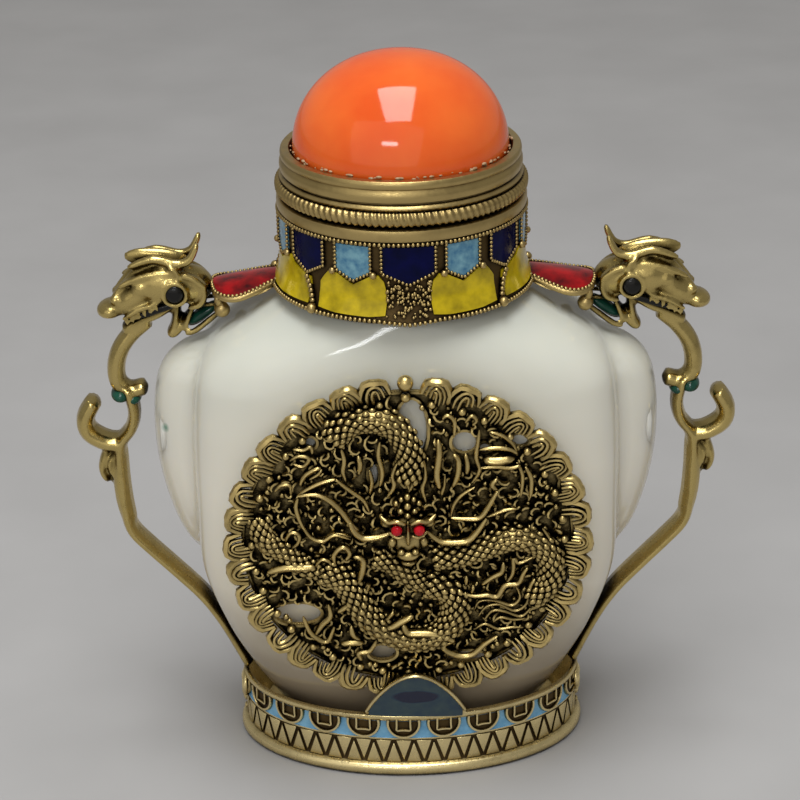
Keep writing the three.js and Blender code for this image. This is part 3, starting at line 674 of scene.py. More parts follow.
def on_handle(across, up, y=0.0):
    """A place on the right handle: 1 across is the bottle's side, 1 up is the horn's tip."""
    x = STRAP_FOOT + across * (SIDE - STRAP_FOOT) if across < 1 else SIDE + (across - 1) * SCROLL_REACH
    return Vector((x, y, HANDLE_FOOT + up * (HANDLE_TOP - HANDLE_FOOT)))


def rib(bm, line, width, depth, y=0.0, taper=0.8):
    """A bar of a handle along a line, with its full width and depth."""
    stroke(bm, [on_handle(across, up, y) for across, up in line], width / 2, depth / 2, taper=taper, sides=10)


def lump(bm, across, up, halves, turn=0.0, y=0.0):
    """A rounded swelling of a handle, leaning by a turn in radians."""
    ball(bm, on_handle(across, up, y), halves, 24, Matrix.Rotation(-turn, 3, "Y").to_quaternion())


def sided(bm, hand):
    """Mirrors what was made for the right handle where hand is -1."""
    if hand < 0:
        bmesh.ops.scale(bm, vec=(-1, 1, 1), verts=bm.verts)
    return bm


handle_gilt = brass("handle_brass", (0.56, 0.43, 0.16), (0.2, 0.145, 0.045), (0.012, 0.008, 0.004), 2.2, 0.24)
# Painted shade: a near-black glossy material for the dark of the dragon heads' eye sockets and mouth lines.
painted_shade_black = enamel("painted_shade_hollow", (0.006, 0.005, 0.004), (0.003, 0.003, 0.002), 1.0, 0.2)
green_enamel = enamel("green_enamel", (0.012, 0.08, 0.05), (0.004, 0.025, 0.018))

form = bmesh.new()
strap = [(0, 0), (0.26, 0.095), (0.52, 0.167), (0.87, 0.235), (1.14, 0.284), (1.36, 0.328), (1.43, 0.375),
         (1.45, 0.45), (1.45, 0.53), (1.3, 0.57), (1.25, 0.61), (1.31, 0.662)]
rib(form, strap, 1.6, 4.4, taper=1)
rib(form, [(1.39, 0.345), (1.45, 0.4), (1.47, 0.46), (1.46, 0.53)], 2.2, 4.2, taper=0.7)
rib(form, [(1.45, 0.535), (1.64, 0.539), (1.84, 0.562), (1.87, 0.595), (1.75, 0.632)], 2.3, 4.4, taper=0.9)
rib(form, [(1.58, 0.545), (1.7, 0.48), (1.64, 0.443)], 1.1, 2.6, taper=0.4)
rib(form, [(1.5, 0.52), (1.6, 0.49), (1.56, 0.455)], 0.9, 3.2, taper=0.4)
neck = [(1.1, 0.662), (1.3, 0.655), (1.43, 0.676), (1.44, 0.713), (1.37, 0.75), (1.22, 0.784), (1.02, 0.812)]
rib(form, neck, 2.2, 3.4, taper=0.9)
rib(form, [(1.3, 0.795), (1.12, 0.815), (0.88, 0.832), (0.62, 0.862)], 1.6, 3.4, taper=0.8)
rib(form, [(0.6, 0.9), (0.68, 0.81), (0.74, 0.785), (0.66, 0.79), (0.49, 0.83)], 1.1, 3.0)
for half in (-1.8, 1.8):
    rib(form, [(1.2, 0.94), (0.9, 0.957), (0.62, 0.946), (0.46, 0.955), (0.36, 0.99)], 1.1, 1.2, half, 0.5)
lump(form, 0.8, 0.9, (0.31 * HEAD, 0.24 * HEAD, 0.22 * HEAD))
lump(form, 0.54, 0.892, (0.26 * HEAD, 0.21 * HEAD, 0.18 * HEAD), 0.1)
lump(form, 0.86, 0.948, (0.3 * HEAD, 0.06 * HEAD, 0.1 * HEAD), 0.1)
lump(form, 1.12, 0.876, (0.31 * HEAD, 0.2 * HEAD, 0.15 * HEAD), -0.65)
lump(form, 1.46, 0.84, (0.13 * HEAD, 0.17 * HEAD, 0.085 * HEAD), -0.15)
for half in (-1, 1):
    rib(form, [(1.44, 0.865), (1.3, 0.895), (1.12, 0.93), (0.92, 0.945)], 0.7, 0.8, half * 1.3, taper=0.5)
    lump(form, 1.38, 0.868, (0.7, 0.7, 0.6), 0, half * 1.5)
    lump(form, 1.04, 0.895, (1.1, 0.7, 0.9), 0, half * 2.2)
    rib(form, [(1.3, 0.83), (1.1, 0.85), (0.9, 0.862), (0.78, 0.88)], 0.6, 0.7, half * 2.4, taper=0.4)
    rib(form, [(0.72, 0.945), (0.6, 0.93), (0.66, 0.905), (0.78, 0.91)], 0.6, 0.8, half * 2.6, taper=0.5)
    rib(form, [(1.32, 0.9), (1.04, 0.921), (0.74, 0.927), (0.45, 0.917), (0.28, 0.893)], 1.0, 1.1,
        half * 2.2, taper=0.5)
    ring = [(0.65 + 0.14 * math.cos(t * math.pi / 4), 0.886 + 0.024 * math.sin(t * math.pi / 4))
            for t in range(9)]
    rib(form, ring, 0.6, 0.9, half * 2.8, taper=1)
    rib(form, [(0.4, 0.912), (0.3, 0.885), (0.36, 0.858), (0.5, 0.85)], 0.9, 1.0, half * 2.0, taper=0.6)
    rib(form, [(0.07, 0.847), (0.25, 0.822), (0.44, 0.796), (0.56, 0.79)], 0.8, 0.9, half * 1.5, taper=0.5)
    rib(form, [(0.12, 0.853), (0.3, 0.852), (0.46, 0.845), (0.56, 0.796)], 0.7, 0.8, half * 1.3, taper=0.5)
    for notch in range(6):
        back, rise = notch * 0.075, notch * 0.006
        rib(form, [(1.26 - back, 0.836 + rise), (1.24 - back, 0.815 + rise)], 0.5, 0.5, half * 2.1, taper=0.6)
sculpt = bpy.data.meshes.new("handle_form")
bmesh.ops.remove_doubles(form, verts=form.verts, dist=0.01)
bmesh.ops.recalc_face_normals(form, faces=form.faces)
form.to_mesh(sculpt)
form.free()
rough_form = bpy.data.objects.new("handle_form", sculpt)
bpy.context.scene.collection.objects.link(rough_form)
fuse = rough_form.modifiers.new("fuse", "REMESH")
fuse.mode = "VOXEL"
fuse.voxel_size = 0.24
bpy.context.view_layer.update()
fused = bpy.data.meshes.new_from_object(rough_form.evaluated_get(bpy.context.evaluated_depsgraph_get()))
bpy.data.objects.remove(rough_form)
for hand, word in ((-1, "left"), (1, "right")):
    bm = bmesh.new()
    bm.from_mesh(fused)
    bmesh.ops.smooth_vert(bm, verts=bm.verts, factor=0.5, use_axis_x=True, use_axis_y=True, use_axis_z=True)
    for half in (-1, 1):
        stroke(bm, [on_handle(a, u, half * 2.05) for a, u in ((1.12, 0.905), (1.0, 0.916), (0.9, 0.9))], 0.22)
    finished(sided(bm, hand), f"handle_casting_{word}", [handle_gilt], "gilt_brass", f"handle_{word}")
    bm = bmesh.new()
    for across, up, halves in ((1.4, 0.648, (1.25, 2.3, 0.95)), (1.25, 0.64, (1.0, 2.1, 0.8)),
                               (0.35, 0.826, (2.4, 1.2, 0.7))):
        lump(bm, across, up, halves, -0.6 if across < 1 else 0)
    finished(sided(bm, hand), f"handle_green_enamel_{word}", [green_enamel], "gilt_brass")
    # Dark patches of painted shade in each eye socket and along each mouth line.
    bm = bmesh.new()
    for half in (-1, 1):
        lump(bm, 0.65, 0.886, (1.1, 0.5, 1.1), 0, half * 2.85)
        rib(bm, [(1.24, 0.826), (1.0, 0.838), (0.75, 0.852), (0.55, 0.862)], 0.9, 0.7, half * 1.75, taper=0.5)
    finished(sided(bm, hand), f"handle_painted_shade_{word}", [painted_shade_black], "gilt_brass")

# The medallion: an openwork casting of dark antique brass, fixed to the bottle's front. A frontal
# dragon coils among clouds and flames inside a border of scrolls. Places are millimetres across
# and up from its middle, with each bar's half width and how far it stands forward.
PLAQUE, PLAQUE_MIDDLE = 21.4, 32.6


def on_front(x, z, stand):
    """A place on the plaque, which is bent back a little towards its two sides."""
    bend = 0.9 * (x / PLAQUE) ** 4
    return Vector((x, bend - half_depth(z + PLAQUE_MIDDLE) - 0.45 - stand, z + PLAQUE_MIDDLE))


antique = brass("antique_brass", (0.66, 0.5, 0.2), (0.14, 0.1, 0.035), (0.006, 0.0045, 0.003), 1.1, 0.3)
patina = brass("dark_patina", (0.3, 0.23, 0.1), (0.05, 0.037, 0.016), (0.006, 0.0045, 0.003), 0.9, 0.4,
               mottle=0.7, relief=0.5)
RELIEF = {
    "coils": [
        (1.5, 0.9, [(-8.4, 14), (-6.6, 15.8), (-4.2, 16.3), (-1.7, 15.7),
            (-0.2, 13.7), (0.5, 11.2), (0, 8.6)]),
        (1.7, 0.9, [(2.2, -5.2), (4.8, -6.2), (5.4, -9.1), (3.9, -12), (1, -13.1),
            (-2.2, -12.1), (-4.8, -9.8), (-6.3, -6.6), (-7.7, -4.3), (-9.8, -3.2)]),
        (1.5, 0.8, [(3.1, -1.8), (6.3, -1.3), (9.2, -0.3), (12.1, 0.7),
            (15.1, -0.1), (16.6, -2.5), (16.3, -5.7), (14.3, -7.7)]),
        (1.3, 0.7, [(-9.8, -3.3), (-12.5, -2.5), (-14.6, -0.5), (-16.6, 1), (-17.2, 3.7)]),
        (1.2, 0.7, [(-3.9, -1.7), (-1.8, -2.6), (0.3, -4.6), (2.2, -5.3)]),
    ],
    "whiskers": [
        (0.34, 2.2, [(-12.6, 7.1), (-10.5, 7.3), (-8.9, 6.5), (-7.6, 5.1), (-6.6, 3.5), (-5.7, 2.6)]),
        (0.26, 2, [(-8.1, 9.1), (-7.3, 8.3), (-6, 7.2), (-5, 6.3), (-4.4, 4.9)]),
        (0.3, 1.9, [(-12.6, 7), (-11.3, 7.9), (-9.7, 8.7), (-8.1, 9.1)]),
        (0.26, 1.9, [(-12.5, 6.8), (-12.8, 5.6), (-12.5, 4), (-11.9, 2.5)]),
        (0.26, 1.8, [(-12.2, 3.2), (-11.3, 1.6), (-9.9, 1), (-8.5, 1.8), (-6.6, 1.2)]),
        (0.42, 2.3, [(-6.7, 3.8), (-6.1, 2.4), (-5.1, 1.6), (-3.5, 1.7), (-1.9, 2.3)]),
        (0.42, 2.3, [(2.1, 2.4), (3.7, 1), (5.6, 0.8), (7, 1.1), (8.1, 2.4), (9, 3.9)]),
        (0.34, 2.2, [(5, 4), (6.8, 3.8), (8.2, 3.9), (9, 4.9), (9.7, 6.2), (10.3, 7.3)]),
        (0.24, 1.9, [(8.2, 3.7), (9.6, 4.1), (11.2, 4.7), (12.6, 4.8)]),
        (0.24, 1.8, [(5, 3.9), (5.3, 5.4), (6.2, 6.7), (7.7, 7.7)]),
        (0.3, 1.9, [(10.3, 7.2), (9.7, 8), (10.3, 8.8)]),
    ],
    "mane": [
        (0.3, 1.5, [(-7.4, 12.7), (-7.1, 11.3), (-7.3, 9.8), (-7, 8.5)]),
        (0.34, 1.6, [(-5.5, 11.9), (-5.3, 10.7), (-5.5, 9.5)]),
        (0.3, 1.7, [(-3, 13.6), (-3.2, 11.9), (-2.8, 9.8), (-3.1, 8)]),
        (0.3, 1.7, [(-1, 11), (-1.6, 9.5), (-1.5, 7.9), (-2.3, 6.6)]),
        (0.28, 1.8, [(0.5, 12.8), (0.6, 11), (0, 9.2), (0.3, 7.3)]),
        (0.26, 1.6, [(-4.3, 10.1), (-4, 8.5), (-4.3, 7)]),
        (0.3, 1.8, [(0.7, 12.9), (0.4, 11), (0.8, 9), (0.2, 7.2)]),
        (0.3, 1.7, [(1.9, 11.2), (2.1, 9.2), (1.7, 7.6), (2.1, 5.9)]),
        (0.42, 1.8, [(3.6, 13.8), (3.7, 12), (3.4, 9.4), (3.7, 7.6)]),
        (0.36, 1.7, [(5.3, 11.9), (5.9, 11.1), (5.8, 9.3), (5.2, 7.7)]),
        (0.34, 1.6, [(6.7, 11.9), (6.9, 10.4), (6.8, 9.3)]),
        (0.3, 1.5, [(8.3, 14.8), (8.1, 12.9), (7.9, 11.3), (8.3, 9.7), (7.4, 8.1)]),
        (0.26, 1.5, [(4.3, 9.3), (4.2, 7.8), (3.9, 6.6)]),
    ],
    "clouds": [
        (0.75, 1.3, [(8.7, 11), (10.3, 10.8), (12.3, 11.1)]),
        (0.3, 1.7, [(8.3, 12.4), (10, 12.6), (11.6, 12.4), (12.6, 11.8)]),
        (0.3, 1.7, [(8.4, 10.1), (10.3, 10.2), (11.9, 10), (12.9, 10.3)]),
        (0.26, 1.5, [(12.5, 10.6), (13.2, 8.9), (13, 6.2)]),
        (0.3, 1.5, [(13.5, 10), (14.2, 8.4), (14.1, 6)]),
        (0.3, 1.5, [(9.4, 14.5), (10.9, 14), (12, 13), (12.6, 11.5)]),
        (0.3, 1.4, [(4.1, 16.1), (4.7, 16.6), (5.5, 15.8), (5.4, 13.9)]),
        (0.28, 1.4, [(6.7, 15.6), (7.4, 16.5), (8, 15.9), (7.5, 15.3)]),
        (0.28, 1.3, [(15.1, 9.4), (16, 10), (16.9, 10.6)]),
        (0.3, 1.4, [(-12.9, 12.7), (-11.7, 12.6), (-10.9, 13), (-10.7, 12.1)]),
        (0.3, 1.5, [(-13.3, 11.3), (-12.3, 11.9), (-11.1, 11.6), (-11.8, 10.6), (-12.9, 10.9)]),
        (0.34, 1.5, [(-12.2, 8.1), (-11.7, 9.3), (-10.7, 10.1), (-9.8, 10.4)]),
        (0.26, 1.5, [(-11.2, 8.9), (-10.2, 9.5), (-9.7, 10.2)]),
        (0.28, 1.4, [(-15.2, 7.3), (-14.5, 8.1), (-13.4, 8.1), (-13.3, 6.9)]),
        (0.34, 1.6, [(14.7, -4.8), (14.2, -6), (14.5, -7.6)]),
        (0.34, 1.6, [(15.6, -5.4), (15.1, -6.6), (15.4, -8.1)]),
        (0.3, 1.5, [(16.9, -5.9), (16.5, -6.9), (18.4, -7.6), (18.9, -7.1)]),
        (0.3, 1.5, [(15.5, 1.9), (16.4, 0), (15.1, -1)]),
        (0.3, 1.5, [(13.4, -2), (14.5, -1.8), (15.4, -1.2)]),
        (0.3, 1.4, [(-17.1, 3.4), (-17.3, 1), (-16.8, -0.4), (-16.2, -1)]),
        (0.3, 1.4, [(-14.3, 0.6), (-13.6, 1.9), (-12.6, 1.7), (-12.8, 0.5), (-13.8, -0.3)]),
        (0.34, 1.5, [(-9.9, 0.5), (-9, 1.6), (-7.7, 1.7), (-6.6, 1.4)]),
        (0.28, 1.4, [(-16.7, 1.5), (-15.9, 0.9), (-16.3, -0.2)]),
    ],
    "legs": [
        (0.55, 1.8, [(-16.4, -3.2), (-14.4, -2.5), (-12.2, -2.5), (-10.8, -2.4)]),
        (0.28, 1.9, [(-10.8, -2.3), (-10, -1.4), (-9.1, -1.9), (-9.5, -3.2), (-10.5, -3), (-10.4, -2.3)]),
        (0.34, 1.8, [(-8.6, -2.4), (-8.6, -0.8), (-7.5, 0.2), (-6.8, -0.7), (-7.3, -1.6)]),
        (0.42, 1.8, [(-6.4, -1.1), (-5.3, -1.6), (-5.5, -3.4), (-6.2, -5.1), (-6.4, -6.9)]),
        (0.36, 1.8, [(-6.4, -6.9), (-7.4, -8), (-8.4, -8.8)]),
        (0.3, 1.8, [(-5.2, -5.4), (-4.7, -4.9), (-5.3, -6.7)]),
        (0.34, 1.6, [(-9.5, -7.8), (-9.3, -9.5), (-10.3, -10.7), (-11.2, -12.2)]),
        (0.34, 1.6, [(-12.5, -9.5), (-12, -11.2), (-11.2, -12.4), (-9.8, -13.1), (-8.9, -11)]),
        (0.45, 1.9, [(-8.1, -13.3), (-6.9, -13.1), (-5.6, -13.2)]),
        (0.36, 1.7, [(-3.9, -12.9), (-4.8, -14.5), (-6.1, -14.8), (-5.8, -15.9)]),
        (0.5, 2.1, [(-3.3, -11.1), (-2.2, -10.9), (-1.1, -10.2), (0.4, -9.3)]),
        (0.34, 1.7, [(-1.9, -8.9), (-2.6, -9.9), (-3.9, -10.3)]),
        (0.36, 1.7, [(-6.9, -10.8), (-6.7, -12.2), (-5.9, -12.9)]),
        (0.3, 1.6, [(-6.8, -6.5), (-5.6, -6.3), (-4.6, -7.5)]),
        (0.3, 1.5, [(0.4, -11.9), (0, -13.5), (0.4, -14.9)]),
        (0.55, 2.2, [(-0.8, -10.4), (-0.2, -11.7), (1.9, -11.8), (4, -12.2), (5.2, -13.1)]),
        (0.4, 2.1, [(5.2, -13.1), (4, -13.6), (4.2, -14.4), (5.7, -15.2),
            (7.3, -15.1), (8.8, -13.6), (10.3, -12.5)]),
        (0.34, 1.9, [(5.7, -6.3), (7.6, -6.8), (9.1, -6.7), (10.3, -6.9),
            (11.2, -5.4), (12.7, -5.2), (13.3, -3.9), (13.8, -3.1)]),
        (0.34, 1.8, [(8.5, -5.3), (9.7, -4.3), (10.8, -3.6), (11, -2.3)]),
        (0.3, 1.7, [(11.2, -5.5), (12.1, -3.9), (12.2, -1.8), (12.8, -2.5), (14.5, -1.7)]),
        (0.26, 1.7, [(6.6, -5.4), (6.7, -4.1)]), (0.26, 1.7, [(7.3, -6.6), (7.5, -5.4)]),
    ],
    "hair": [
        (0.22, 1.6, [(7.6, -8.9), (8.2, -7.7), (9.9, -7.6), (12, -8.4), (13, -7.2), (12.4, -5.6)]),
        (0.22, 1.6, [(8.1, -9.8), (9, -8.5), (10.6, -8.2), (12.4, -9.2), (13.8, -8.1), (14.1, -5.6)]),
        (0.22, 1.6, [(8.8, -10.4), (9.7, -9.1), (11.2, -9.2), (13.1, -10), (14.2, -8.9)]),
        (0.22, 1.5, [(9.8, -10.8), (10.7, -10.1), (12.3, -10.5), (13.7, -10.4)]),
        (0.22, 1.5, [(7.7, -11.7), (8.9, -11), (10.4, -11.8), (12, -11.6), (13.4, -11.7)]),
    ],
}
bm = bmesh.new()
HOLES = [(0.6, 14.6, 2.0, 3.9), (-3.8, 9.1, 0.7, 1.6), (6.6, 12.9, 1.6, 1.5), (-10.9, 13.2, 0.8, 0.8),
         (12.9, 13.0, 1.2, 0.9), (18.3, 7.0, 0.9, 1.4), (-13.2, -9.6, 3.0, 1.7), (-3.3, -15.4, 1.8, 1.3),
         (6.6, -16.2, 2.6, 1.0), (8.9, 12.1, 0.8, 0.8)]
bmesh.ops.create_grid(bm, x_segments=76, y_segments=76, size=PLAQUE - 1.2)
gone = []
for face in bm.faces:
    centre = face.calc_center_median()
    if centre.length > PLAQUE - 2.2 or any(
            ((centre.x - x) / wide) ** 2 + ((centre.y - z) / tall) ** 2 < 1 for x, z, wide, tall in HOLES):
        gone.append(face)
bmesh.ops.delete(bm, geom=gone, context="FACES")
bmesh.ops.solidify(bm, geom=list(bm.faces), thickness=0.5)
low_side = min(vert.co.z for vert in bm.verts)
moved(bm, 0, lambda co: on_front(co.x, co.y, 0.05 if co.z < low_side + 0.1 else 0.5))
for face in bm.faces:
    face.material_index = 1
for x, z, wide, tall in HOLES + [(0, 0, PLAQUE - 2.2, PLAQUE - 2.2)]:
    ring = [on_front(x + wide * math.cos(t * math.pi / 12), z + tall * math.sin(t * math.pi / 12), 0.5)
            for t in range(25)]
    stroke(bm, ring, 0.3, 0.45, taper=1, steps=24 if wide < 9 else 96, sides=6)
for name, rows in RELIEF.items():
    for radius, stand, points in rows:
        stroke(bm, [on_front(x, z, stand) for x, z in points], radius, radius * 1.1, taper=0.35)


def scales(bm, points, radius, stand):
    """Rows of overlapping scales along a coil of the dragon's body."""
    length = sum((Vector(b) - Vector(a)).length for a, b in zip(points, points[1:]))
    count = int(length / 0.62)
    for i in range(count):
        share = (i + 0.5) / count
        at = smooth_point([(*p, 0) for p in points], share)
        ahead = smooth_point([(*p, 0) for p in points], min(share + 0.02, 1)) - at
        lean = math.atan2(ahead.y, ahead.x)
        rows = 5
        for j in range(rows):
            turn = (j + (0.5 if i % 2 else 0)) / rows * math.pi - math.pi / 2
            if abs(turn) > 1.45:
                continue
            off = radius * 1.02 * math.sin(turn)
            x, z = at.x - off * math.sin(lean), at.y + off * math.cos(lean)
            place = on_front(x, z, stand + radius * 1.02 * math.cos(turn))
            ball(bm, place, (0.46, 0.3, 0.36), 7, Matrix.Rotation(-lean, 3, "Y").to_quaternion())


for radius, stand, points in RELIEF["coils"]:
    scales(bm, points, radius, stand)

for k in range(36):
    angle = math.radians(90 + k * 10)
    radial = (math.cos(angle), math.sin(angle))

    def lobe(line, radial=radial):
        return [on_front(radial[0] * r - radial[1] * s, radial[1] * r + radial[0] * s, stand)
                for s, r, stand in line]

    edge = PLAQUE
    if k == 0:
        for r, size in ((edge - 0.9, 0.95), (edge - 2.6, 0.6)):
            ball(bm, lobe([(0, r, 1.3)])[0], size)
        continue
    way = 1 if (k < 18) == (k % 2 == 0) else -1
    if k % 3 == 1:
        arcs = [(1.7, 0.52, 1.5), (1.0, 0.3, 1.8), (0.4, 0.26, 1.8)]
    else:
        arcs = [(1.7, 0.5, 1.5), (1.1, 0.26, 1.7), (0.6, 0.24, 1.8), (0.15, 0.22, 1.8)]
    for size, width, stand in arcs:
        low = edge - 3.4 + 0.25 * size
        line = [(-size * 0.96, low, stand - 0.5), (-size, low + 1.2, stand - 0.1),
                (-size * 0.55, low + 1.7 + size * 0.52, stand + 0.2),
                (size * 0.1, low + 1.85 + size * 0.62, stand + 0.2),
                (size * 0.7, low + 1.6 + size * 0.42, stand), (size * 0.95, low + 0.9, stand - 0.2)]
        stroke(bm, lobe([(way * s, min(r, edge - 0.4), h) for s, r, h in line]), width, width * 1.2,
               taper=0.5, steps=12, sides=7)
    ball(bm, lobe([(way * 0.2, edge - 3.3, 1.3)])[0], 0.5, 12)
    ball(bm, lobe([(way * 1.2, edge - 3.9, 1.1)])[0], 0.36, 10)
FILLERS, GOLDEN_ANGLE = 920, 2.39996
seeded = random.Random(11)
for i in range(FILLERS):
    r, angle = (PLAQUE - 3.4) * math.sqrt((i + seeded.random()) / FILLERS), i * GOLDEN_ANGLE
    x, z = r * math.cos(angle), r * math.sin(angle)
    if any(((x - hx) / (wide + 0.5)) ** 2 + ((z - hz) / (tall + 0.5)) ** 2 < 1
           for hx, hz, wide, tall in HOLES):
        continue
    lean, size = seeded.uniform(0, 2 * math.pi), seeded.uniform(0.45, 1.1)
    if i % 3:
        bend = seeded.uniform(1.6, 4.2)
        line = [on_front(x + size * math.cos(lean + bend * t / 5) * (1 - t * 0.1),
                         z + size * math.sin(lean + bend * t / 5) * (1 - t * 0.1), 0.85 + 0.1 * t)
                for t in range(6)]
        stroke(bm, line, 0.25, 0.5, taper=0.5, steps=7, sides=6)
    else:
        ball(bm, on_front(x, z, 0.85), 0.24 + 0.16 * size, 8)
EYE = 3.0
for x, z, stand, halves in (
        (0, -1.5, 1.5, (1.9, 1.3, 2.6)), (0, -3.7, 2.2, (1.3, 1.0, 0.7)), (0.8, -3.1, 2.7, (0.45, 0.5, 0.4)),
        (0, -0.6, 2.6, (0.3, 0.9, 1.7)), (0, -4.9, 1.8, (0.9, 0.8, 0.45)), (2.4, 0.3, 1.6, (0.8, 0.9, 0.6)),
        (1.8, -2.0, 1.9, (0.6, 0.8, 0.8)), (0, 1.5, 2.4, (0.42, 0.5, 0.42)), (0.8, 2.0, 2.2, (0.4, 0.5, 0.4)),
        (0, 2.6, 2.2, (0.45, 0.5, 0.5)), (1.3, 2.9, 1.9, (0.36, 0.5, 0.4)), (0, 3.7, 1.9, (0.4, 0.5, 0.5)),
        (0.7, 3.4, 1.9, (0.34, 0.5, 0.4))):
    for side in (-1, 1) if x else (1,):
        ball(bm, on_front(side * x, EYE + z, stand), halves, 18)
for side in (-1, 1):
    stroke(bm, [on_front(side * x, EYE + z, stand) for x, z, stand in
                ((0.3, 0.7, 3.2), (1.2, 1.15, 3.3), (2.3, 0.9, 2.9), (3.2, 1.5, 2.3))], 0.3)
    stroke(bm, [on_front(side * x, EYE + z, stand) for x, z, stand in
                ((0.4, -0.75, 3.2), (1.3, -0.95, 3.2), (2.2, -0.4, 2.8))], 0.22)
finished(bm, "medallion_casting", [antique, patina], "antique_brass", "dragon_medallion")

# The dragon's eyes: two small cut stones of red glass, each set in the cast face of the
# medallion, on either side of the ridge of its nose.
EYE_RADIUS = 0.66
ruby = enamel("ruby_glass", (0.6, 0.006, 0.015), (0.35, 0.003, 0.01), 1.0, 0.05)
for side, word in ((-1, "left"), (1, "right")):
    bm = bmesh.new()
    place = on_front(side * 1.3, EYE, 3.3)
    bmesh.ops.create_icosphere(bm, subdivisions=2, radius=EYE_RADIUS, matrix=Matrix.Translation(place))
    finished(bm, f"dragon_stone_{word}", [ruby], "ruby_stone", f"dragon_eye_{word}", crease=10)

# The stopper's cap: aged brass, turned, with two rounded bands and a roped ring below them. Its
# plug stands in the bottle's bore, and its rim is the bezel of the stone.
CAP_FOOT, CAP_TOP = 71.0, 76.1
ROPE_TWISTS = 112
bm = bmesh.new()
turned(bm, [
    (0.001, 62.4), (4.1, 62.4), (4.6, 62.9), (4.6, CAP_FOOT), (13.7, CAP_FOOT), (13.8, CAP_FOOT + 0.3),
    (13.8, CAP_FOOT + 1.6), (14.0, CAP_FOOT + 1.72), (14.1, 73.0), (13.95, 73.3), (13.62, 73.42),
    (13.62, 73.56), (13.9, 73.7), (14.02, 74.1), (14.0, 74.6), (13.8, 74.95), (13.72, 75.1),
    (13.86, 75.3), (13.9, 75.6), (13.84, 75.95),
    (13.7, CAP_TOP), (12.9, CAP_TOP), (12.75, 75.9), (12.75, 74.3), (0.001, 74.3),
], 168)
since = len(bm.verts)
turned(bm, [(1.3, 0), (1.25, 0.45), (0.95, 0.8), (0.4, 0.8), (0.4, -0.8), (0.95, -0.8), (1.25, -0.45),
            (1.3, 0)], 6 * ROPE_TWISTS)


def roped(co):
    """Lays a plain ring round the cap and twists it like a rope."""
    radius = math.hypot(co.x, co.y)
    turn = math.atan2(co.y, co.x)
    wave = math.cos(ROPE_TWISTS * turn + 2.0 * co.z)
    out = 13.25 + radius + (0.11 * wave if radius > 0.5 else 0)
    return Vector((out * co.x / radius, out * co.y / radius, CAP_FOOT + 0.85 + co.z * (0.95 + 0.05 * wave)))


moved(bm, since, roped)
finished(bm, "stopper_cap_turned", [aged], "gilt_brass", "stopper_cap")

# The stopper's stone: a glossy orange dome of glass glued into the cap's bezel, with pale crumbs
# of glue left along its edge.
coral, nodes, link, main = shader("coral_glass")
cloud = speckle(nodes, link, 7, 3)
link(ramp(nodes, link, cloud, [(0.3, (0.78, 0.1, 0.012)), (0.7, (0.86, 0.15, 0.02))]),
     main.inputs["Base Color"])
main.inputs["Roughness"].default_value = 0.08
main.inputs["Subsurface Weight"].default_value = 0.25
main.inputs["Subsurface Radius"].default_value = (1.0, 0.35, 0.15)
main.inputs["Subsurface Scale"].default_value = 2 * MM
bumped(nodes, link, main, speckle(nodes, link, 6, 1), 0.1, 0.15)
bm = bmesh.new()
DOME_RADIUS, DOME_RISE = 12.45, 10.7
dome = [(DOME_RADIUS * math.cos(t * math.pi / 60) ** 0.92, CAP_TOP + DOME_RISE * math.sin(t * math.pi / 60))
        for t in range(30)]
turned(bm, [(0.001, 74.6), (12.2, 74.6), (DOME_RADIUS, 74.9)] + dome + [(0.001, CAP_TOP + DOME_RISE)], 128)
finished(bm, "stopper_stone_dome", [coral], "coral_stone", "stopper_stone", crease=60)
glue = enamel("dried_glue", (0.5, 0.36, 0.22), (0.3, 0.16, 0.07), 0.6, 0.5)
bm = bmesh.new()
CRUMBS = 90
seeded = random.Random(3)
for i in range(CRUMBS):
    turn = seeded.uniform(0, 2 * math.pi)
    size = seeded.uniform(0.08, 0.26)
    radius = 12.6 + seeded.uniform(-0.1, 0.2)
    ball(bm, (radius * math.cos(turn), radius * math.sin(turn), CAP_TOP + seeded.uniform(-0.05, 0.25)),
         (size * 0.8, size * 1.5, size * 0.7), 6, Matrix.Rotation(turn, 3, "Z").to_quaternion())
finished(bm, "stopper_glue_crumbs", [glue], "coral_stone")

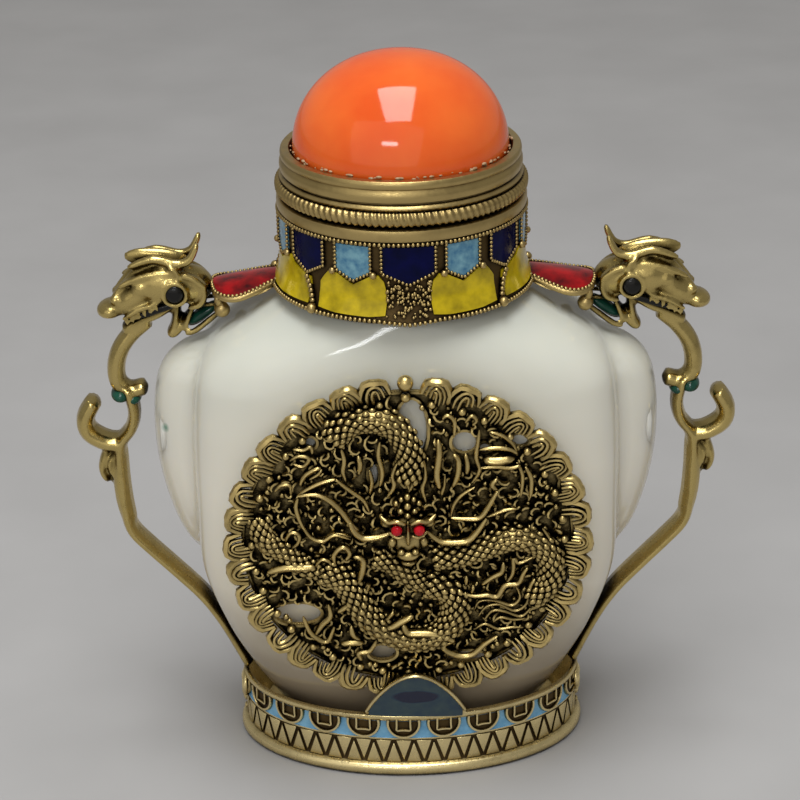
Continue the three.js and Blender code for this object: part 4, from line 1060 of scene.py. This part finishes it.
# The stage: a plain pale floor, two soft window-like lights above, a wide weak one in front, and
# the camera, which stands where the photograph was taken from.
bm = bmesh.new()
bmesh.ops.create_grid(bm, x_segments=1, y_segments=1, size=1.5)
floor_mesh = bpy.data.meshes.new("floor")
bm.to_mesh(floor_mesh)
bm.free()
paper, nodes, link, main = shader("pale_paper")
link(ramp(nodes, link, speckle(nodes, link, 30, 3), [(0.3, (0.4, 0.39, 0.385)), (0.7, (0.44, 0.43, 0.425))]),
     main.inputs["Base Color"])
main.inputs["Roughness"].default_value = 0.8
floor_mesh.materials.append(paper)
floor = bpy.data.objects.new("floor", floor_mesh)
bpy.context.scene.collection.objects.link(floor)


def softbox(name, place, aim, size, power, colour):
    """A rectangular lamp at a place, turned towards its aim."""
    lamp = bpy.data.lights.new(name, "AREA")
    lamp.shape = "RECTANGLE"
    lamp.size, lamp.size_y = size
    lamp.energy = power
    lamp.color = colour
    light = bpy.data.objects.new(name, lamp)
    light.location = place
    light.rotation_euler = (Vector(aim) - Vector(place)).to_track_quat("-Z", "Y").to_euler()
    bpy.context.scene.collection.objects.link(light)


softbox("window", (-0.02, -0.14, 0.62), (-0.02, -0.13, 0), (0.27, 0.5), 3.1, (0.97, 0.99, 1))
softbox("pane", (-0.11, -0.518, 0.332), (0, 0, 0.055), (0.16, 0.05), 0.3, (0.97, 0.99, 1))
softbox("front_fill", (-0.25, -0.8, 0.45), (0, 0, 0.04), (1.4, 1.0), 1.9, (1, 0.98, 0.95))
world = bpy.data.worlds.new("studio")
world.use_nodes = True
world.node_tree.nodes["Background"].inputs["Color"].default_value = (0.5, 0.49, 0.47, 1)
world.node_tree.nodes["Background"].inputs["Strength"].default_value = 0.58
bpy.context.scene.world = world
bpy.context.scene.view_settings.view_transform = "Standard"

CAMERA_DISTANCE, CAMERA_RISE, CAMERA_ROLL = 0.3, math.radians(24), math.radians(-1.1)
lens = bpy.data.cameras.new("camera")
lens.lens = 112.7
lens.sensor_width = 36
lens.clip_start = 0.01
lens.shift_x = -5.5 / 800
camera = bpy.data.objects.new("camera", lens)
target = Vector((0, 0, 0.0439))
camera.location = target + CAMERA_DISTANCE * Vector((0, -math.cos(CAMERA_RISE), math.sin(CAMERA_RISE)))
tilt = Matrix.Rotation(math.pi / 2 - CAMERA_RISE, 3, "X")
camera.rotation_euler = (tilt @ Matrix.Rotation(CAMERA_ROLL, 3, "Z")).to_euler()
bpy.context.scene.collection.objects.link(camera)
bpy.context.scene.camera = camera
